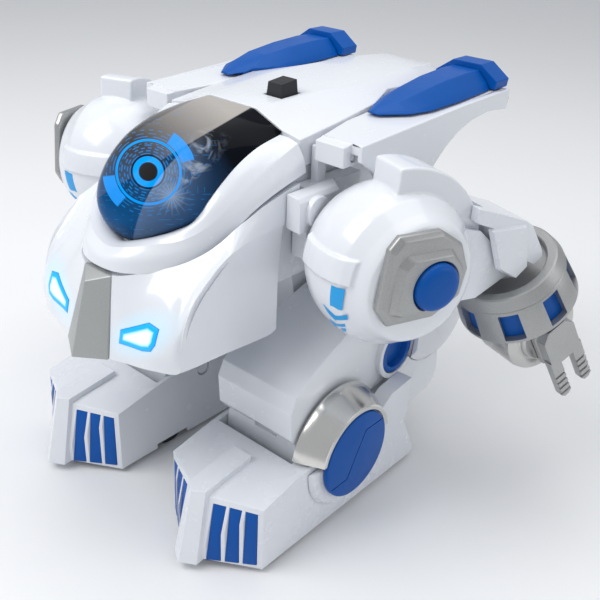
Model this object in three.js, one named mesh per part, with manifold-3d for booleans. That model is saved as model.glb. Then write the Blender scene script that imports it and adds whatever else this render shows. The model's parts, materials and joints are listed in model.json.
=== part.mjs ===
// Crouching two-legged toy robot: cockpit torso, swept-back wings with thruster
// pods, ball shoulders, drum forearms with two-prong grippers, and big wedge
// feet on rollers. Millimetres, +Z up, the robot faces -Y, its left side is +X.
import * as THREE from "three";
import { ConvexGeometry } from "three/addons/geometries/ConvexGeometry.js";
import { mergeVertices } from "three/addons/utils/BufferGeometryUtils.js";
import Module from "manifold-3d";

const wasm = await Module();
wasm.setup();

// ---- driving dimensions (mm) ----
const CENTRE_Y = 28; // shifts the whole robot so that the origin is under its middle
const GAP = 0.35; // clearance between neighbouring pieces
const WALL = 2.2; // moulded plastic wall

const FOOT_X = 50.9; // centre of each foot
const FOOT_HALF_W = 30;
const FOOT_FRONT = -114.3; // front corners of the foot
const FOOT_NOSE = -138.4; // apex of the V toe
const SOLE_Z = 2.2;
const ANKLE = [-55.5, 38.8]; // y, z of the ankle axis
const ANKLE_DISC_R = 22.6;
const HIP = [27, 80]; // y, z of the hip axis
const HIP_R = 28.5;
const PORT = [-5, 68.5]; // y, z of the round port in the thigh
const ROLLER_R = 10.5;
const ROLLER_Y = -79;
const REAR_Y = -4; // rear roller

const SHOULDER = [89, -48.9, 140.6]; // centre of the shoulder ball
const SHOULDER_R = 35.7;
const ARM_YAW = (20 * Math.PI) / 180; // the arm plane opens outwards to the rear
const ARM_SIN = 0.515; // forearm axis, rearwards part
const ARM_COS = 0.857; // forearm axis, downwards part
const ELBOW = [67, -13]; // y', z' of the top of the forearm drum
const DRUM_H = 26.2;
const DRUM_R_TOP = 26.7;
const DRUM_R_BOTTOM = 29.3;

const BOOSTER_X = 49.5;
const BOOSTER_REAR = 78;

// ---- materials ----
const white = { color: 0xe8ebf0, roughness: 0.28, metalness: 0.0 };
const blue = { color: 0x005cab, roughness: 0.3, metalness: 0.0 };
const silver = { color: 0x9c9f9f, roughness: 0.42, metalness: 0.6 };
const chrome = { color: 0xc9c9c6, roughness: 0.15, metalness: 1.0 };
const glass = { color: 0x06080c, roughness: 0.06, metalness: 0.1 };
const black = { color: 0x14161a, roughness: 0.6, metalness: 0.0 };
const cyan = { color: 0x9fe9ff, roughness: 0.2, metalness: 0.0, emissive: 0x38c8ff };
const steel = { color: 0xb6b8ba, roughness: 0.3, metalness: 1.0 };
const green = { color: 0x1d6b3a, roughness: 0.5, metalness: 0.0 };

// ---- helpers ----
const V = (x, y, z) => new THREE.Vector3(x, y, z);
const clean = (g) => {
  const n = g.index ? g.toNonIndexed() : g.clone();
  n.deleteAttribute("normal");
  n.deleteAttribute("uv");
  n.clearGroups();
  return mergeVertices(n, 1e-4);
};
const toSolid = (g) => {
  const m = clean(g);
  return new wasm.Manifold(
    new wasm.Mesh({
      numProp: 3,
      vertProperties: new Float32Array(m.attributes.position.array),
      triVerts: new Uint32Array(m.index.array),
    }),
  );
};
const toGeometry = (s) => {
  const m = s.getMesh();
  const v = new Float32Array(m.numVert * 3);
  for (let i = 0; i < m.numVert; i++)
    for (let k = 0; k < 3; k++) v[3 * i + k] = m.vertProperties[i * m.numProp + k];
  const g = new THREE.BufferGeometry();
  g.setAttribute("position", new THREE.BufferAttribute(v, 3));
  g.setIndex(new THREE.BufferAttribute(new Uint32Array(m.triVerts), 1));
  const flat = g.toNonIndexed();
  flat.computeVertexNormals();
  return flat;
};
const cut = (a, ...bs) => bs.reduce((s, b) => s.subtract(b), a);
const join = (a, ...bs) => bs.reduce((s, b) => s.add(b), a);
const both = (a, b) => a.intersect(b);

// convex solid round a list of [x, y, z]
const hull = (pts) => toSolid(new ConvexGeometry(pts.map((p) => V(...p))));
// the same points and their mirror images in X
const hullSym = (pts) => hull([...pts, ...pts.map(([x, y, z]) => [-x, y, z])]);
const box = (x0, x1, y0, y1, z0, z1) =>
  toSolid(
    new THREE.BoxGeometry(x1 - x0, y1 - y0, z1 - z0).translate((x0 + x1) / 2, (y0 + y1) / 2, (z0 + z1) / 2),
  );
// cylinder or cone along +X from x0 to x1 about (y, z)
const xcyl = (x0, x1, y, z, r0, r1 = r0, n = 32) =>
  toSolid(
    new THREE.CylinderGeometry(r1, r0, x1 - x0, n).rotateZ(-Math.PI / 2).translate((x0 + x1) / 2, y, z),
  );
// profile [[y, z], ...] swept along X from x0 to x1
const xprism = (x0, x1, prof) => {
  const s = new THREE.Shape(prof.map(([y, z]) => new THREE.Vector2(y, z)));
  const g = new THREE.ExtrudeGeometry(s, { depth: x1 - x0, bevelEnabled: false, steps: 1 });
  // shape plane (u, v) -> (y, z), depth -> x
  g.applyMatrix4(new THREE.Matrix4().set(0, 0, 1, x0, 1, 0, 0, 0, 0, 1, 0, 0, 0, 0, 0, 1));
  return toSolid(g);
};
// profile [[x, z], ...] swept along Y from y0 to y1
const yprism = (y0, y1, prof) => {
  const s = new THREE.Shape(prof.map(([x, z]) => new THREE.Vector2(x, z)));
  const g = new THREE.ExtrudeGeometry(s, { depth: y1 - y0, bevelEnabled: false, steps: 1 });
  g.applyMatrix4(new THREE.Matrix4().set(1, 0, 0, 0, 0, 0, -1, y1, 0, 1, 0, 0, 0, 0, 0, 1));
  return toSolid(g);
};
// sections [{y, pts: [[x, z], ...]}] joined along Y, all with the same number of points, counter-clockwise seen from -Y
const yloft = (sections) => {
  const n = sections[0].pts.length;
  const pos = [];
  const tri = [];
  for (const s of sections) for (const [x, z] of s.pts) pos.push(x, s.y, z);
  for (let i = 0; i + 1 < sections.length; i++)
    for (let j = 0; j < n; j++) {
      const a = i * n + j;
      const b = i * n + ((j + 1) % n);
      tri.push(a, b, a + n, b, b + n, a + n);
    }
  const last = (sections.length - 1) * n;
  for (let j = 1; j + 1 < n; j++) {
    tri.push(0, j + 1, j);
    tri.push(last, last + j, last + j + 1);
  }
  const g = new THREE.BufferGeometry();
  g.setAttribute("position", new THREE.Float32BufferAttribute(pos, 3));
  g.setIndex(tri);
  let s = toSolid(g);
  if (s.volume() < 0) {
    const t = [];
    for (let i = 0; i < tri.length; i += 3) t.push(tri[i], tri[i + 2], tri[i + 1]);
    g.setIndex(t);
    s = toSolid(g);
  }
  return s;
};
// closed sheet between two grids of points with the same layout
const sheet = (outer, inner) => {
  const R = outer.length;
  const C = outer[0].length;
  const pos = [];
  for (const grid of [outer, inner]) for (const row of grid) for (const p of row) pos.push(...p);
  const tri = [];
  const id = (g, r, c) => g * R * C + r * C + c;
  for (let r = 0; r + 1 < R; r++)
    for (let c = 0; c + 1 < C; c++) {
      tri.push(id(0, r, c), id(0, r, c + 1), id(0, r + 1, c + 1), id(0, r, c), id(0, r + 1, c + 1), id(0, r + 1, c));
      tri.push(id(1, r, c), id(1, r + 1, c + 1), id(1, r, c + 1), id(1, r, c), id(1, r + 1, c), id(1, r + 1, c + 1));
    }
  const rim = [];
  for (let c = 0; c < C; c++) rim.push([0, c]);
  for (let r = 1; r < R; r++) rim.push([r, C - 1]);
  for (let c = C - 2; c >= 0; c--) rim.push([R - 1, c]);
  for (let r = R - 2; r > 0; r--) rim.push([r, 0]);
  for (let i = 0; i < rim.length; i++) {
    const [r0, c0] = rim[i];
    const [r1, c1] = rim[(i + 1) % rim.length];
    tri.push(id(0, r0, c0), id(1, r0, c0), id(0, r1, c1), id(0, r1, c1), id(1, r0, c0), id(1, r1, c1));
  }
  const g = new THREE.BufferGeometry();
  g.setAttribute("position", new THREE.Float32BufferAttribute(pos, 3));
  const build = (t) => {
    g.setIndex(t);
    return toSolid(g);
  };
  let s = build(tri);
  if (s.volume() < 0) {
    const t = [];
    for (let i = 0; i < tri.length; i += 3) t.push(tri[i], tri[i + 2], tri[i + 1]);
    s = build(t);
  }
  return s;
};

const root = new THREE.Group();
root.position.y = CENTRE_Y;
const add = (group, name, solid, m) => {
  const mat = new THREE.MeshStandardMaterial(m);
  const mesh = new THREE.Mesh(toGeometry(solid), mat);
  mesh.name = name;
  group.add(mesh);
  return mesh;
};

// ================= torso =================
const torso = new THREE.Group();
root.add(torso);

// windshield: a domed pane. Each row is a section from the lower front to the
// roof: y, z of the edge, its half width, and y, z of the middle.
const PANE = [
  { e: [-113.5, 146], w: 10, c: [-117.5, 143] },
  { e: [-106.5, 153], w: 24, c: [-121.5, 148.5] },
  { e: [-104, 159], w: 30, c: [-123, 156] },
  { e: [-99.5, 165], w: 31.5, c: [-120.5, 165.5] },
  { e: [-92.5, 171], w: 32, c: [-114, 175] },
  { e: [-83, 177], w: 32, c: [-104, 183] },
  { e: [-71, 181.5], w: 31.5, c: [-89, 188.8] },
  { e: [-56, 184], w: 31, c: [-71, 191.6] },
  { e: [-54.8, 184.3], w: 31, c: [-54.8, 192.4] },
];
const PANE_COLS = 11;
const paneGrid = (off, grow = 0) => {
  const P = PANE.map((s) => {
    const row = [];
    for (let c = 0; c < PANE_COLS; c++) {
      const t = (c / (PANE_COLS - 1)) * 2 - 1;
      const k = 1 - Math.pow(Math.abs(t), 2.2);
      row.push([t * (s.w + grow), s.e[0] + (s.c[0] - s.e[0]) * k, s.e[1] + (s.c[1] - s.e[1]) * k]);
    }
    return row;
  });
  // straight roof edge in the last row: flat middle, chamfered corners
  P[P.length - 1] = P[P.length - 1].map(([x]) => {
    const a = Math.abs(x);
    return [x, -54.8, a < 15 ? 192.4 : 192.4 - ((a - 15) * 6.4) / 16];
  });
  if (!off) return P;
  const out = [];
  for (let r = 0; r < P.length; r++) {
    const row = [];
    for (let c = 0; c < PANE_COLS; c++) {
      const a = V(...P[Math.max(0, r - 1)][c]);
      const b = V(...P[Math.min(P.length - 1, r + 1)][c]);
      const l = V(...P[r][Math.max(0, c - 1)]);
      const q = V(...P[r][Math.min(PANE_COLS - 1, c + 1)]);
      const n = q.sub(l).cross(b.sub(a)).normalize().multiplyScalar(off);
      const p = V(...P[r][c]).add(n);
      row.push([p.x, p.y, p.z]);
    }
    out.push(row);
  }
  return out;
};
const windshield = both(sheet(paneGrid(0), paneGrid(-2)), box(-60, 60, -140, -55.2, 100, 220));

// hood round the windshield
const hoodOuter = hullSym([
  [0, -134.5, 138],
  [12, -131.8, 138],
  [27, -117, 139],
  [34, -108.5, 142],
  [39.5, -103, 148],
  [43.5, -94, 156.5],
  [47, -72, 168.5],
  [47, -56, 171],
  [43, -56, 183.5],
  [33, -56, 185.5],
  [10, -119, 146],
  [30, -105.5, 158],
  [32.5, -92.5, 172],
  [32.8, -83, 178],
  [32, -70, 182.5],
  [32, -56, 185],
]);
const hoodInner = hullSym([
  [0, -128, 139.6],
  [10, -125, 139.6],
  [26, -110, 141.5],
  [36, -98, 150],
  [41, -90, 158],
  [44, -70, 169],
  [44, -40, 171],
  [40, -40, 181],
  [29, -40, 183],
  [27, -98, 158],
  [28.5, -86, 171],
  [28.5, -70, 180],
]);
// the opening for the pane, swept along the pane's mean normal
const paneCutter = (() => {
  const G = paneGrid(0, GAP + 0.1);
  G[0] = G[0].map(([x, y, z]) => [x, y - 0.4, z - 0.4]);
  const hulls = [];
  for (let r = 0; r + 1 < G.length; r++)
    hulls.push(
      hull(
        [...G[r], ...G[r + 1]].flatMap(([x, y, z]) => [
          [x, y + 9, z - 12],
          [x, y - 42, z + 56],
        ]),
      ),
    );
  return join(...hulls);
})();
const hoodFront = box(-80, 80, -150, -56, 100, 230);
let hood = cut(
  both(hoodOuter, hoodFront),
  hoodInner,
  hullSym([
    [38, -110, 130],
    [38, -40, 168],
    [38, -40, 130],
    [0, -126, 130],
    [20, -115, 137.2],
    [0, -126, 137.2],
  ]),
  paneCutter,
  windshield.translate([0.4, 0, 0]),
  windshield.translate([-0.4, 0, 0]),
  windshield.translate([0, 0, -0.4]),
);
hood = hood.decompose().sort((a, b) => b.volume() - a.volume())[0];

// face mask: the white snout below the hood
const maskOuter = hullSym([
  [0, -138, 137.4],
  [12, -134.2, 137.4],
  [27, -122, 137.4],
  [44, -121.2, 131.7],
  [45, -127, 120],
  [44.5, -129.3, 100.5],
  [16, -142.5, 100],
  [0, -146, 97],
  [20, -141, 112],
  [43, -134.5, 118],
  [46.5, -71, 97],
  [46.5, -71, 140],
  [47, -64, 146],
  [47, -58, 152],
  [44, -108, 143],
  [46, -90, 155],
  [47.5, -74, 165.5],
  [47.5, -60, 165.5],
]);
const maskInner = hullSym([
  [0, -134, 140],
  [24, -119, 142],
  [41, -117, 133],
  [41.5, -123, 120],
  [41.5, -125.5, 103.5],
  [14, -138.5, 103.5],
  [0, -141, 103.5],
  [43.8, -50, 100],
  [43.8, -50, 145],
  [41, -106, 146],
  [43.8, -70, 170],
  [43.8, -50, 170],
  [30, -60, 180],
  [0, -110, 160],
]);
// silver keel down the middle of the face
const keelSolid = hullSym([
  [8.9, -133.9, 134.5],
  [0, -141.2, 131.4],
  [0, -151, 97.9],
  [14, -142.6, 99.3],
  [8.9, -131, 134.5],
  [14, -139.5, 99.3],
  [0, -134, 97],
]);
const keelCut = hullSym([
  [9.3, -134.1, 135.3],
  [0, -155, 135.3],
  [0, -165, 96.2],
  [14.5, -143, 98.6],
  [20, -160, 98],
  [9.3, -130.4, 135.3],
  [14.5, -138.9, 98.6],
  [0, -130.4, 135.3],
  [0, -133.4, 96.2],
]);
const eyeOutline = [
  [19.1, 108.4],
  [19, 114.6],
  [34.5, 123.8],
  [41.6, 124.7],
  [41.2, 113.6],
  [37.6, 109.6],
];
const eyeGrown = [
  [18.5, 107.9],
  [18.4, 115],
  [34.3, 124.4],
  [42.2, 125.4],
  [41.8, 113.3],
  [37.8, 109.1],
];
const mirrorX = (o) => o.map(([x, z]) => [-x, z]).reverse();
const eyeLens = both(yprism(-150, -120, eyeOutline), cut(maskOuter, maskInner));
const eyeLensR = both(yprism(-150, -120, mirrorX(eyeOutline)), cut(maskOuter, maskInner));
// the mask stops under the hood: everything above the hood's lower edge is open
const hoodAbove = hullSym([
  [0, -140, 137.7],
  [12, -134.5, 137.7],
  [27, -117.4, 138.6],
  [34.3, -108.7, 141.6],
  [39.9, -103.3, 147.6],
  [43.9, -94.2, 156.1],
  [47.6, -72, 168.1],
  [60, -72, 168.1],
  [60, -103, 147.6],
  [60, -94, 156.1],
  [0, -60, 230],
  [60, -60, 230],
  [0, -130, 200],
  [60, -56, 170.4],
  [47.6, -56, 170.4],
]);
let mask = cut(
  maskOuter,
  maskInner,
  keelCut,
  yprism(-150, -115, eyeGrown),
  yprism(-150, -115, mirrorX(eyeGrown)),
  hoodAbove,
  hoodOuter.translate([0, 0, -GAP]),
);
mask = mask.decompose().sort((a, b) => b.volume() - a.volume())[0];

// roof: deck cover over the electronics, open underneath
const roofSection = (y, flat, top, mid, midZ, half, edgeZ, low) => ({
  y,
  pts: [
    [-half, low],
    [half, low],
    [half, edgeZ],
    [mid, midZ],
    [flat, top],
    [-flat, top],
    [-mid, midZ],
    [-half, edgeZ],
  ],
});
const roofOuter = yloft([
  roofSection(-54.5, 15, 192.6, 31, 186.2, 42, 184.2, 171.5),
  roofSection(-30, 17, 193.4, 32, 188.6, 42, 187, 171.5),
  roofSection(0, 20, 194.2, 33, 191.4, 40.5, 190, 171.5),
  roofSection(24, 20, 194.4, 26, 192.6, 30.6, 191, 172),
  roofSection(60, 18, 194, 24, 191.4, 29.6, 188.6, 172),
  roofSection(84, 16, 192.4, 21, 188.4, 25, 184, 172),
  roofSection(95, 12, 188.6, 16, 184, 19, 180, 172),
]);
const roofInner = yloft([
  roofSection(-56, 14, 190.4, 30, 184, 39.8, 182, 160),
  roofSection(-30, 16, 191.2, 31, 186.4, 39.8, 184.8, 160),
  roofSection(0, 19, 192, 32, 189.2, 38.3, 187.8, 160),
  roofSection(24, 19, 192.2, 25, 190.4, 28.4, 188.8, 160),
  roofSection(60, 17, 191.8, 23, 189.2, 27.4, 186.4, 160),
  roofSection(84, 14, 189.6, 19, 186, 22.5, 182, 160),
  roofSection(91, 9, 186.4, 13, 182.6, 16.5, 178.6, 160),
]);
const BUTTON = [8, -29.5]; // x, y of the switch on the roof
const roof = cut(
  roofOuter,
  both(roofInner, box(-60, 60, -52.2, 120, 150, 230)),
  box(BUTTON[0] - 5.9, BUTTON[0] + 5.9, BUTTON[1] - 6.9, BUTTON[1] + 6.9, 180, 220),
);

// belly: the lower torso tub with the pelvis, open on top
const bellyOuter = join(
  hullSym([
    [40.5, -62, 170.8],
    [40.5, 20, 170.8],
    [29, 62, 170.8],
    [40.5, -62, 118],
    [40.5, 20, 118],
    [26, 60, 130],
    [30, -70, 112],
    [28, -62, 111],
    [28, 50, 111],
  ]),
  hullSym([
    [20.5, -34, 114],
    [20.5, 50, 114],
    [20.5, -24, 62],
    [20.5, 40, 60],
    [14, -22, 56],
    [14, 36, 56],
  ]),
);
const bellyInner = join(
  hullSym([
    [38.2, -59, 180],
    [38.2, 18, 180],
    [26.6, 58, 180],
    [38.2, -59, 120],
    [38.2, 18, 120],
    [24, 56, 132],
    [27, -65, 114.4],
    [25.6, -59, 113.4],
    [25.6, 48, 113.4],
  ]),
  hullSym([
    [18, -31, 116],
    [18, 47, 116],
    [18, -21, 64],
    [18, 37, 62],
    [12, -20, 59],
    [12, 34, 59],
  ]),
);
const battery = box(-16, 16, -16, 36, 66, 96);
const belly = join(
  cut(bellyOuter, bellyInner),
  // stub axles of the hips
  xcyl(18.5, 59, HIP[0], HIP[1], 3.9, 3.9, 20),
  xcyl(-59, -18.5, HIP[0], HIP[1], 3.9, 3.9, 20),
  // posts under the circuit board
  box(19.5, 23.5, -20, -16, 112, 119.6),
  box(-23.5, -19.5, -20, -16, 112, 119.6),
  box(19.5, 23.5, 14, 18, 112, 119.6),
  box(-23.5, -19.5, 14, 18, 112, 119.6),
);

// shoulder brackets: a box out of each side of the torso with a round boss,
// and a plate lower down that carries the shoulder pin
const bracket = join(
  hull([
    [48, -69, 149],
    [48, -69, 165],
    [55, -70.5, 165],
    [57, -70.5, 163],
    [57, -70.5, 149],
    [57, -44, 163],
    [55, -44, 165],
    [48, -38, 165],
    [48, -38, 149],
    [57, -44, 149],
  ]),
  box(41.3, 50, -57, -20, 130, 164.5),
  xcyl(56.5, 59.4, -60, 157.5, 7, 7, 24),
  // ear and pin of the wing hinge
  box(43, 46.8, -48, -42, 160, 181),
  xcyl(46.5, 63.5, -45, 179.5, 1.5, 1.5, 16),
  // stub axle of the shoulder
  toSolid(
    new THREE.CylinderGeometry(4.2, 4.2, 52, 20)
      .rotateZ(-Math.PI / 2)
      .translate(-20, 0, 0)
      .rotateZ(-ARM_YAW)
      .translate(...SHOULDER),
  ).intersect(box(44, 140, -100, 0, 100, 200)),
);

// room for the tapering side of the roof
const roofClear = hull(
  [
    [42.8, -60],
    [42.8, -30],
    [41.3, 0.5],
    [31.4, 24.8],
    [0, 24.8],
    [0, -60],
  ].flatMap(([x, y]) => [
    [x, y, 150],
    [x, y, 220],
  ]),
);

// wing: flat plate under the booster with a deep fin on its outer side
const wingSide = [
  [-47, 186.2],
  [-47, 179],
  [-38, 173],
  [-34, 168],
  [-2, 156],
  [6, 158.5],
  [12, 165],
  [20, 171.5],
  [30, 177],
  [42, 180.6],
  [56, 182],
  [76, 180],
  [76.6, 190.2],
  [30, 189.4],
];
const wingPlate = hull([
  [48, -47, 186],
  [70, -47, 186.2],
  [48, -47, 181.5],
  [70, -47, 181.7],
  [43.2, 8, 188.6],
  [43.2, 8, 184.4],
  [70, 76.6, 190.2],
  [70, 76.6, 186],
  [32, 24, 188.8],
  [32, 24, 184.8],
  [32, 76.6, 190.2],
  [32, 76.6, 186],
]);
const wing = cut(
  join(
    wingPlate,
    xprism(67.4, 70, wingSide),
    // hinge barrel block at the front
    hull([
      [48, -52, 185.4],
      [64, -52, 185.4],
      [48, -52, 176],
      [64, -52, 176],
      [48, -40, 186.4],
      [64, -40, 186.4],
      [48, -38, 176],
      [64, -38, 176],
    ]),
  ),
  xcyl(40, 66, -45, 179.5, 1.9, 1.9, 16),
  roofClear,
);

// booster: pointed blue pod on the wing
const boosterSection = (y, xc, half, zBase, zShoulder, zTop, flat) => ({
  y,
  pts: [
    [xc - half, zBase],
    [xc + half, zBase],
    [xc + half * 0.86, zShoulder],
    [xc + flat, zTop],
    [xc - flat, zTop],
    [xc - half * 0.86, zShoulder],
  ],
});
const BOOSTER_BASE = (y) => 189.15 + (y + 12) * 0.0142;
const boosterSolid = yloft([
  boosterSection(-12, 48.5, 3, BOOSTER_BASE(-12), 189.6, 190.2, 1.2),
  boosterSection(0, 50, 11, BOOSTER_BASE(0), 190.6, 193.4, 4),
  boosterSection(14, 50, 15, BOOSTER_BASE(14), 191.8, 196.2, 6),
  boosterSection(34, 49.5, 16.4, BOOSTER_BASE(34) + 0.1, 193.2, 198.4, 7),
  boosterSection(54, 49.5, 16, BOOSTER_BASE(54) + 0.2, 193.9, 199.4, 7.5),
  boosterSection(65, 49.5, 15.2, BOOSTER_BASE(65) + 0.25, 194, 199.2, 7.5),
]);
const boosterCap = cut(
  yprism(65.4, BOOSTER_REAR, [
    [-17.7, 190.75],
    [17.7, 190.75],
    [18.3, 195],
    [8.2, 202],
    [-8.2, 202],
    [-18.3, 195],
  ].map(([x, z]) => [x + BOOSTER_X, z])),
  // nozzle mouth
  yprism(BOOSTER_REAR - 7, BOOSTER_REAR + 5, [
    [-12, 192.6],
    [12, 192.6],
    [12.6, 195],
    [6, 199.6],
    [-6, 199.6],
    [-12.6, 195],
  ].map(([x, z]) => [x + BOOSTER_X, z])),
);

add(torso, "roof_cover", roof, white);
add(torso, "belly_shell", belly, white);
add(torso, "cockpit_hood", hood, white);
add(torso, "windshield", windshield, glass);
add(torso, "face_mask", mask, white);
add(torso, "nose_keel", keelSolid, silver);
add(torso, "left_eye_lens", eyeLens, cyan);
add(torso, "right_eye_lens", eyeLensR, cyan);
add(torso, "battery_pack", battery, black);
add(torso, "circuit_board", box(-24, 24, -30, 40, 120, 121.8), green);
// switch on the roof: cap, stem and a retaining flange under the deck
add(
  root,
  "power_button",
  join(
    hull([
      [BUTTON[0] - 5, BUTTON[1] - 6, 190],
      [BUTTON[0] + 5, BUTTON[1] - 6, 190],
      [BUTTON[0] - 5, BUTTON[1] + 6, 190],
      [BUTTON[0] + 5, BUTTON[1] + 6, 190],
      [BUTTON[0] - 4.4, BUTTON[1] - 5.2, 199],
      [BUTTON[0] + 4.4, BUTTON[1] - 5.2, 199],
      [BUTTON[0] - 4.4, BUTTON[1] + 5.2, 200],
      [BUTTON[0] + 4.4, BUTTON[1] + 5.2, 200],
    ]),
    box(BUTTON[0] - 7.4, BUTTON[0] + 7.4, BUTTON[1] - 8.4, BUTTON[1] + 8.4, 187.4, 190.4),
  ),
  black,
);

// ================= left and right sides =================
for (const [side, s] of [
  ["left", 1],
  ["right", -1],
]) {
  const half = new THREE.Group();
  half.scale.x = s;
  root.add(half);

  add(half, side + "_shoulder_bracket", bracket, white);
  add(half, side + "_wing", wing, white);
  add(half, side + "_booster", cut(boosterSolid, roofClear), blue);
  add(half, side + "_booster_nozzle", boosterCap, blue);

  // ---------- arm ----------
  const arm = new THREE.Group();
  arm.position.set(...SHOULDER);
  arm.rotation.z = -ARM_YAW;
  half.add(arm);

  // pole of every turned shape lies on the arm's own X axis
  const ballProfile = [];
  const XIN = -22;
  ballProfile.push(new THREE.Vector2(0.001, XIN));
  const pr = [];
  pr.push([Math.sqrt(SHOULDER_R ** 2 - XIN ** 2), XIN]);
  for (const x of [-16, -10, -3, 4, 10]) pr.push([Math.sqrt(SHOULDER_R ** 2 - x ** 2), x]);
  pr.push([33.2, 14], [31.2, 16.4], [28.6, 20.4], [26.6, 23.4], [24.6, 25.4]);
  const turned = (prof, n = 28) => {
    const pts = [new THREE.Vector2(0, prof[0][1]), ...prof.map(([r, x]) => new THREE.Vector2(r, x)), new THREE.Vector2(0, prof[prof.length - 1][1])];
    const g = new THREE.LatheGeometry(pts, n);
    g.rotateZ(-Math.PI / 2);
    let so;
    try {
      so = toSolid(g);
      if (so.volume() < 0) throw new Error("in");
    } catch (e) {
      const c = clean(g);
      const ix = Array.from(c.index.array);
      for (let i = 0; i < ix.length; i += 3) [ix[i + 1], ix[i + 2]] = [ix[i + 2], ix[i + 1]];
      c.setIndex(ix);
      so = toSolid(c);
    }
    return so;
  };
  const ballOuter = turned(pr);
  const ballInner = turned(
    [[26, -30], [28.5, -18], [31.8, -8], [32.4, 2], [30, 11], [25.6, 17], [20, 20]],
    22,
  );
  // arched rib over the top, from the crown down the back
  const ribArc = [];
  for (let i = 0; i <= 10; i++) {
    const a = ((92 - i * 9.6) * Math.PI) / 180;
    ribArc.push([-Math.cos(a) * -1 * 44.6 - 2, Math.sin(a) * 45.4]);
  }
  const rib = xprism(-9.4, 9.4, [...ribArc, [36, 4], [22, 20], [0, 30], [-5, 34], [-7, 36]]);
  // raised belt round the front of the ball
  const belt = both(
    turned([[30, -16], [34.4, -14], [37, -8], [37.6, 0], [36.6, 9], [33.6, 15.5], [30, 19]], 28),
    box(-22, 30, -60, -14, 2.6, 13.2),
  );
  const shell = cut(
    join(ballOuter, rib, belt),
    cut(ballInner, xcyl(-12, 24, 0, 0, 8, 8, 24)),
    // seat of the upper arm
    box(-13.4, 15, 20, 60, -24, 21),
    // bore for the stub axle
    xcyl(-50, 9, 0, 0, 4.7, 4.7, 24),
  );
  add(arm, side + "_shoulder_shell", shell, white);

  // silver cap on the outer side of the ball
  const capOutline = [
    [-16, 26],
    [-20.5, 21],
    [-24, -5],
    [-18.5, -13],
    [4, -13.5],
    [17, -6],
    [19.5, 6],
    [15, 18],
    [4, 25.5],
  ];
  const capIn = capOutline.map(([y, z]) => [y * 0.9, (z - 5) * 0.9 + 5]);
  const cap = cut(
    join(
      hull([
        ...capOutline.map(([y, z]) => [25.8, y, z]),
        ...capIn.map(([y, z]) => [30.4, y, z]),
      ]),
      hull([
        [30, -14, 18.5],
        [30, -17.5, 15],
        [30, -20, -7],
        [30, -14, -9.5],
        [30, 8, -8],
        [30, 15, -2],
        [30, 16, 8],
        [30, 9, 18],
        [33, -11, 16],
        [33, -14, 13],
        [33, -17, -5.5],
        [33, -13, -7.5],
        [33, 7, -6.5],
        [33, 13, -1],
        [33, 14, 8],
        [33, 8, 15.5],
      ]),
    ),
    xcyl(26.5, 40, 1, 3, 10.9, 10.9, 28),
  );
  add(arm, side + "_shoulder_cap", cap, silver);
  add(
    arm,
    side + "_shoulder_button",
    join(xcyl(26.9, 34, 1, 3, 10.4, 10.4, 28), xcyl(33.9, 36.2, 1, 3, 10.4, 8.2, 28)),
    blue,
  );

  // upper arm: white body from the ball to the forearm
  const upperArm = hull([
    [-12.8, 21.5, 14],
    [12.6, 21.5, 17],
    [-12.8, 21.5, -20],
    [12.6, 21.5, -20],
    [-12.8, 40, 10],
    [13, 38, 13],
    [-12.8, 50, -6],
    [13, 46, -2],
    [-9, 66.2, -12.2],
    [9, 66.2, -12.2],
    [-9, 60.6, -15.9],
    [9, 60.6, -15.9],
    [-10, 54, -17.6],
    [10, 54, -17.6],
    [-12, 42, -21.5],
    [12, 42, -21.5],
  ]);
  const stub = toSolid(
    new THREE.CylinderGeometry(7, 7, 10.2, 24)
      .rotateX(Math.PI / 2)
      .translate(0, 0, -3.8)
      .rotateX(Math.atan2(ARM_SIN, ARM_COS))
      .translate(0, ELBOW[0], ELBOW[1]),
  );
  add(arm, side + "_upper_arm", join(upperArm, both(stub, box(-30, 30, 44, 90, -40, 6))), white);
  // stepped cover over the elbow
  const coverProfile = [
    [34, 24.5],
    [46, 20.5],
    [62, 14.4],
    [66, 11.5],
    [74.5, -2],
    [75.3, -5.5],
    [70.8, -8.6],
    [62.6, -4.4],
    [58.6, -6.6],
    [54.5, -4],
    [51.5, -0.4],
    [42.6, 14.2],
    [34, 17.6],
  ];
  const cover = cut(
    join(
      xprism(-11, 15.8, coverProfile),
      hull([
        [14.2, 41, 14],
        [17.2, 42, 13],
        [14.2, 62, 14],
        [17, 61, 12],
        [14.2, 49, -7],
        [17.2, 49.5, -6],
        [14.2, 60.5, -14],
        [17, 60, -12.6],
        [14.2, 66, -9],
        [17, 65.5, -8],
      ]),
    ),
    xcyl(-10, 10, 0, 0, 46.2, 46.2, 40),
    xcyl(-20, 20, 0, 0, 36.3, 36.3, 40),
    hull([
      [-20, 40, 9],
      [13.5, 40, 11.5],
      [-20, 51, -6],
      [13.5, 47, -2],
      [-20, 59, -10],
      [13.5, 59, -8],
      [-20, 50, -30],
      [13.5, 50, -30],
      [-20, 30, -10],
      [13.5, 30, -10],
      [-20, 30, 16],
      [13.5, 30, 17],
      [13.5, 38.6, 13.6],
    ]),
  );
  const coverCut = cut(
    cover,
    ...[
      [0, 0, 0.5],
      [0, 0, -2],
      [0, 0.5, 0],
      [0.5, 0, 0],
      [-0.5, 0, 0],
      [0, -0.5, 0],
    ].map((d) => upperArm.translate(d)),
  )
    .decompose()
    .sort((a, b) => b.volume() - a.volume())[0];
  add(arm, side + "_arm_cover", coverCut, white);

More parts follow.
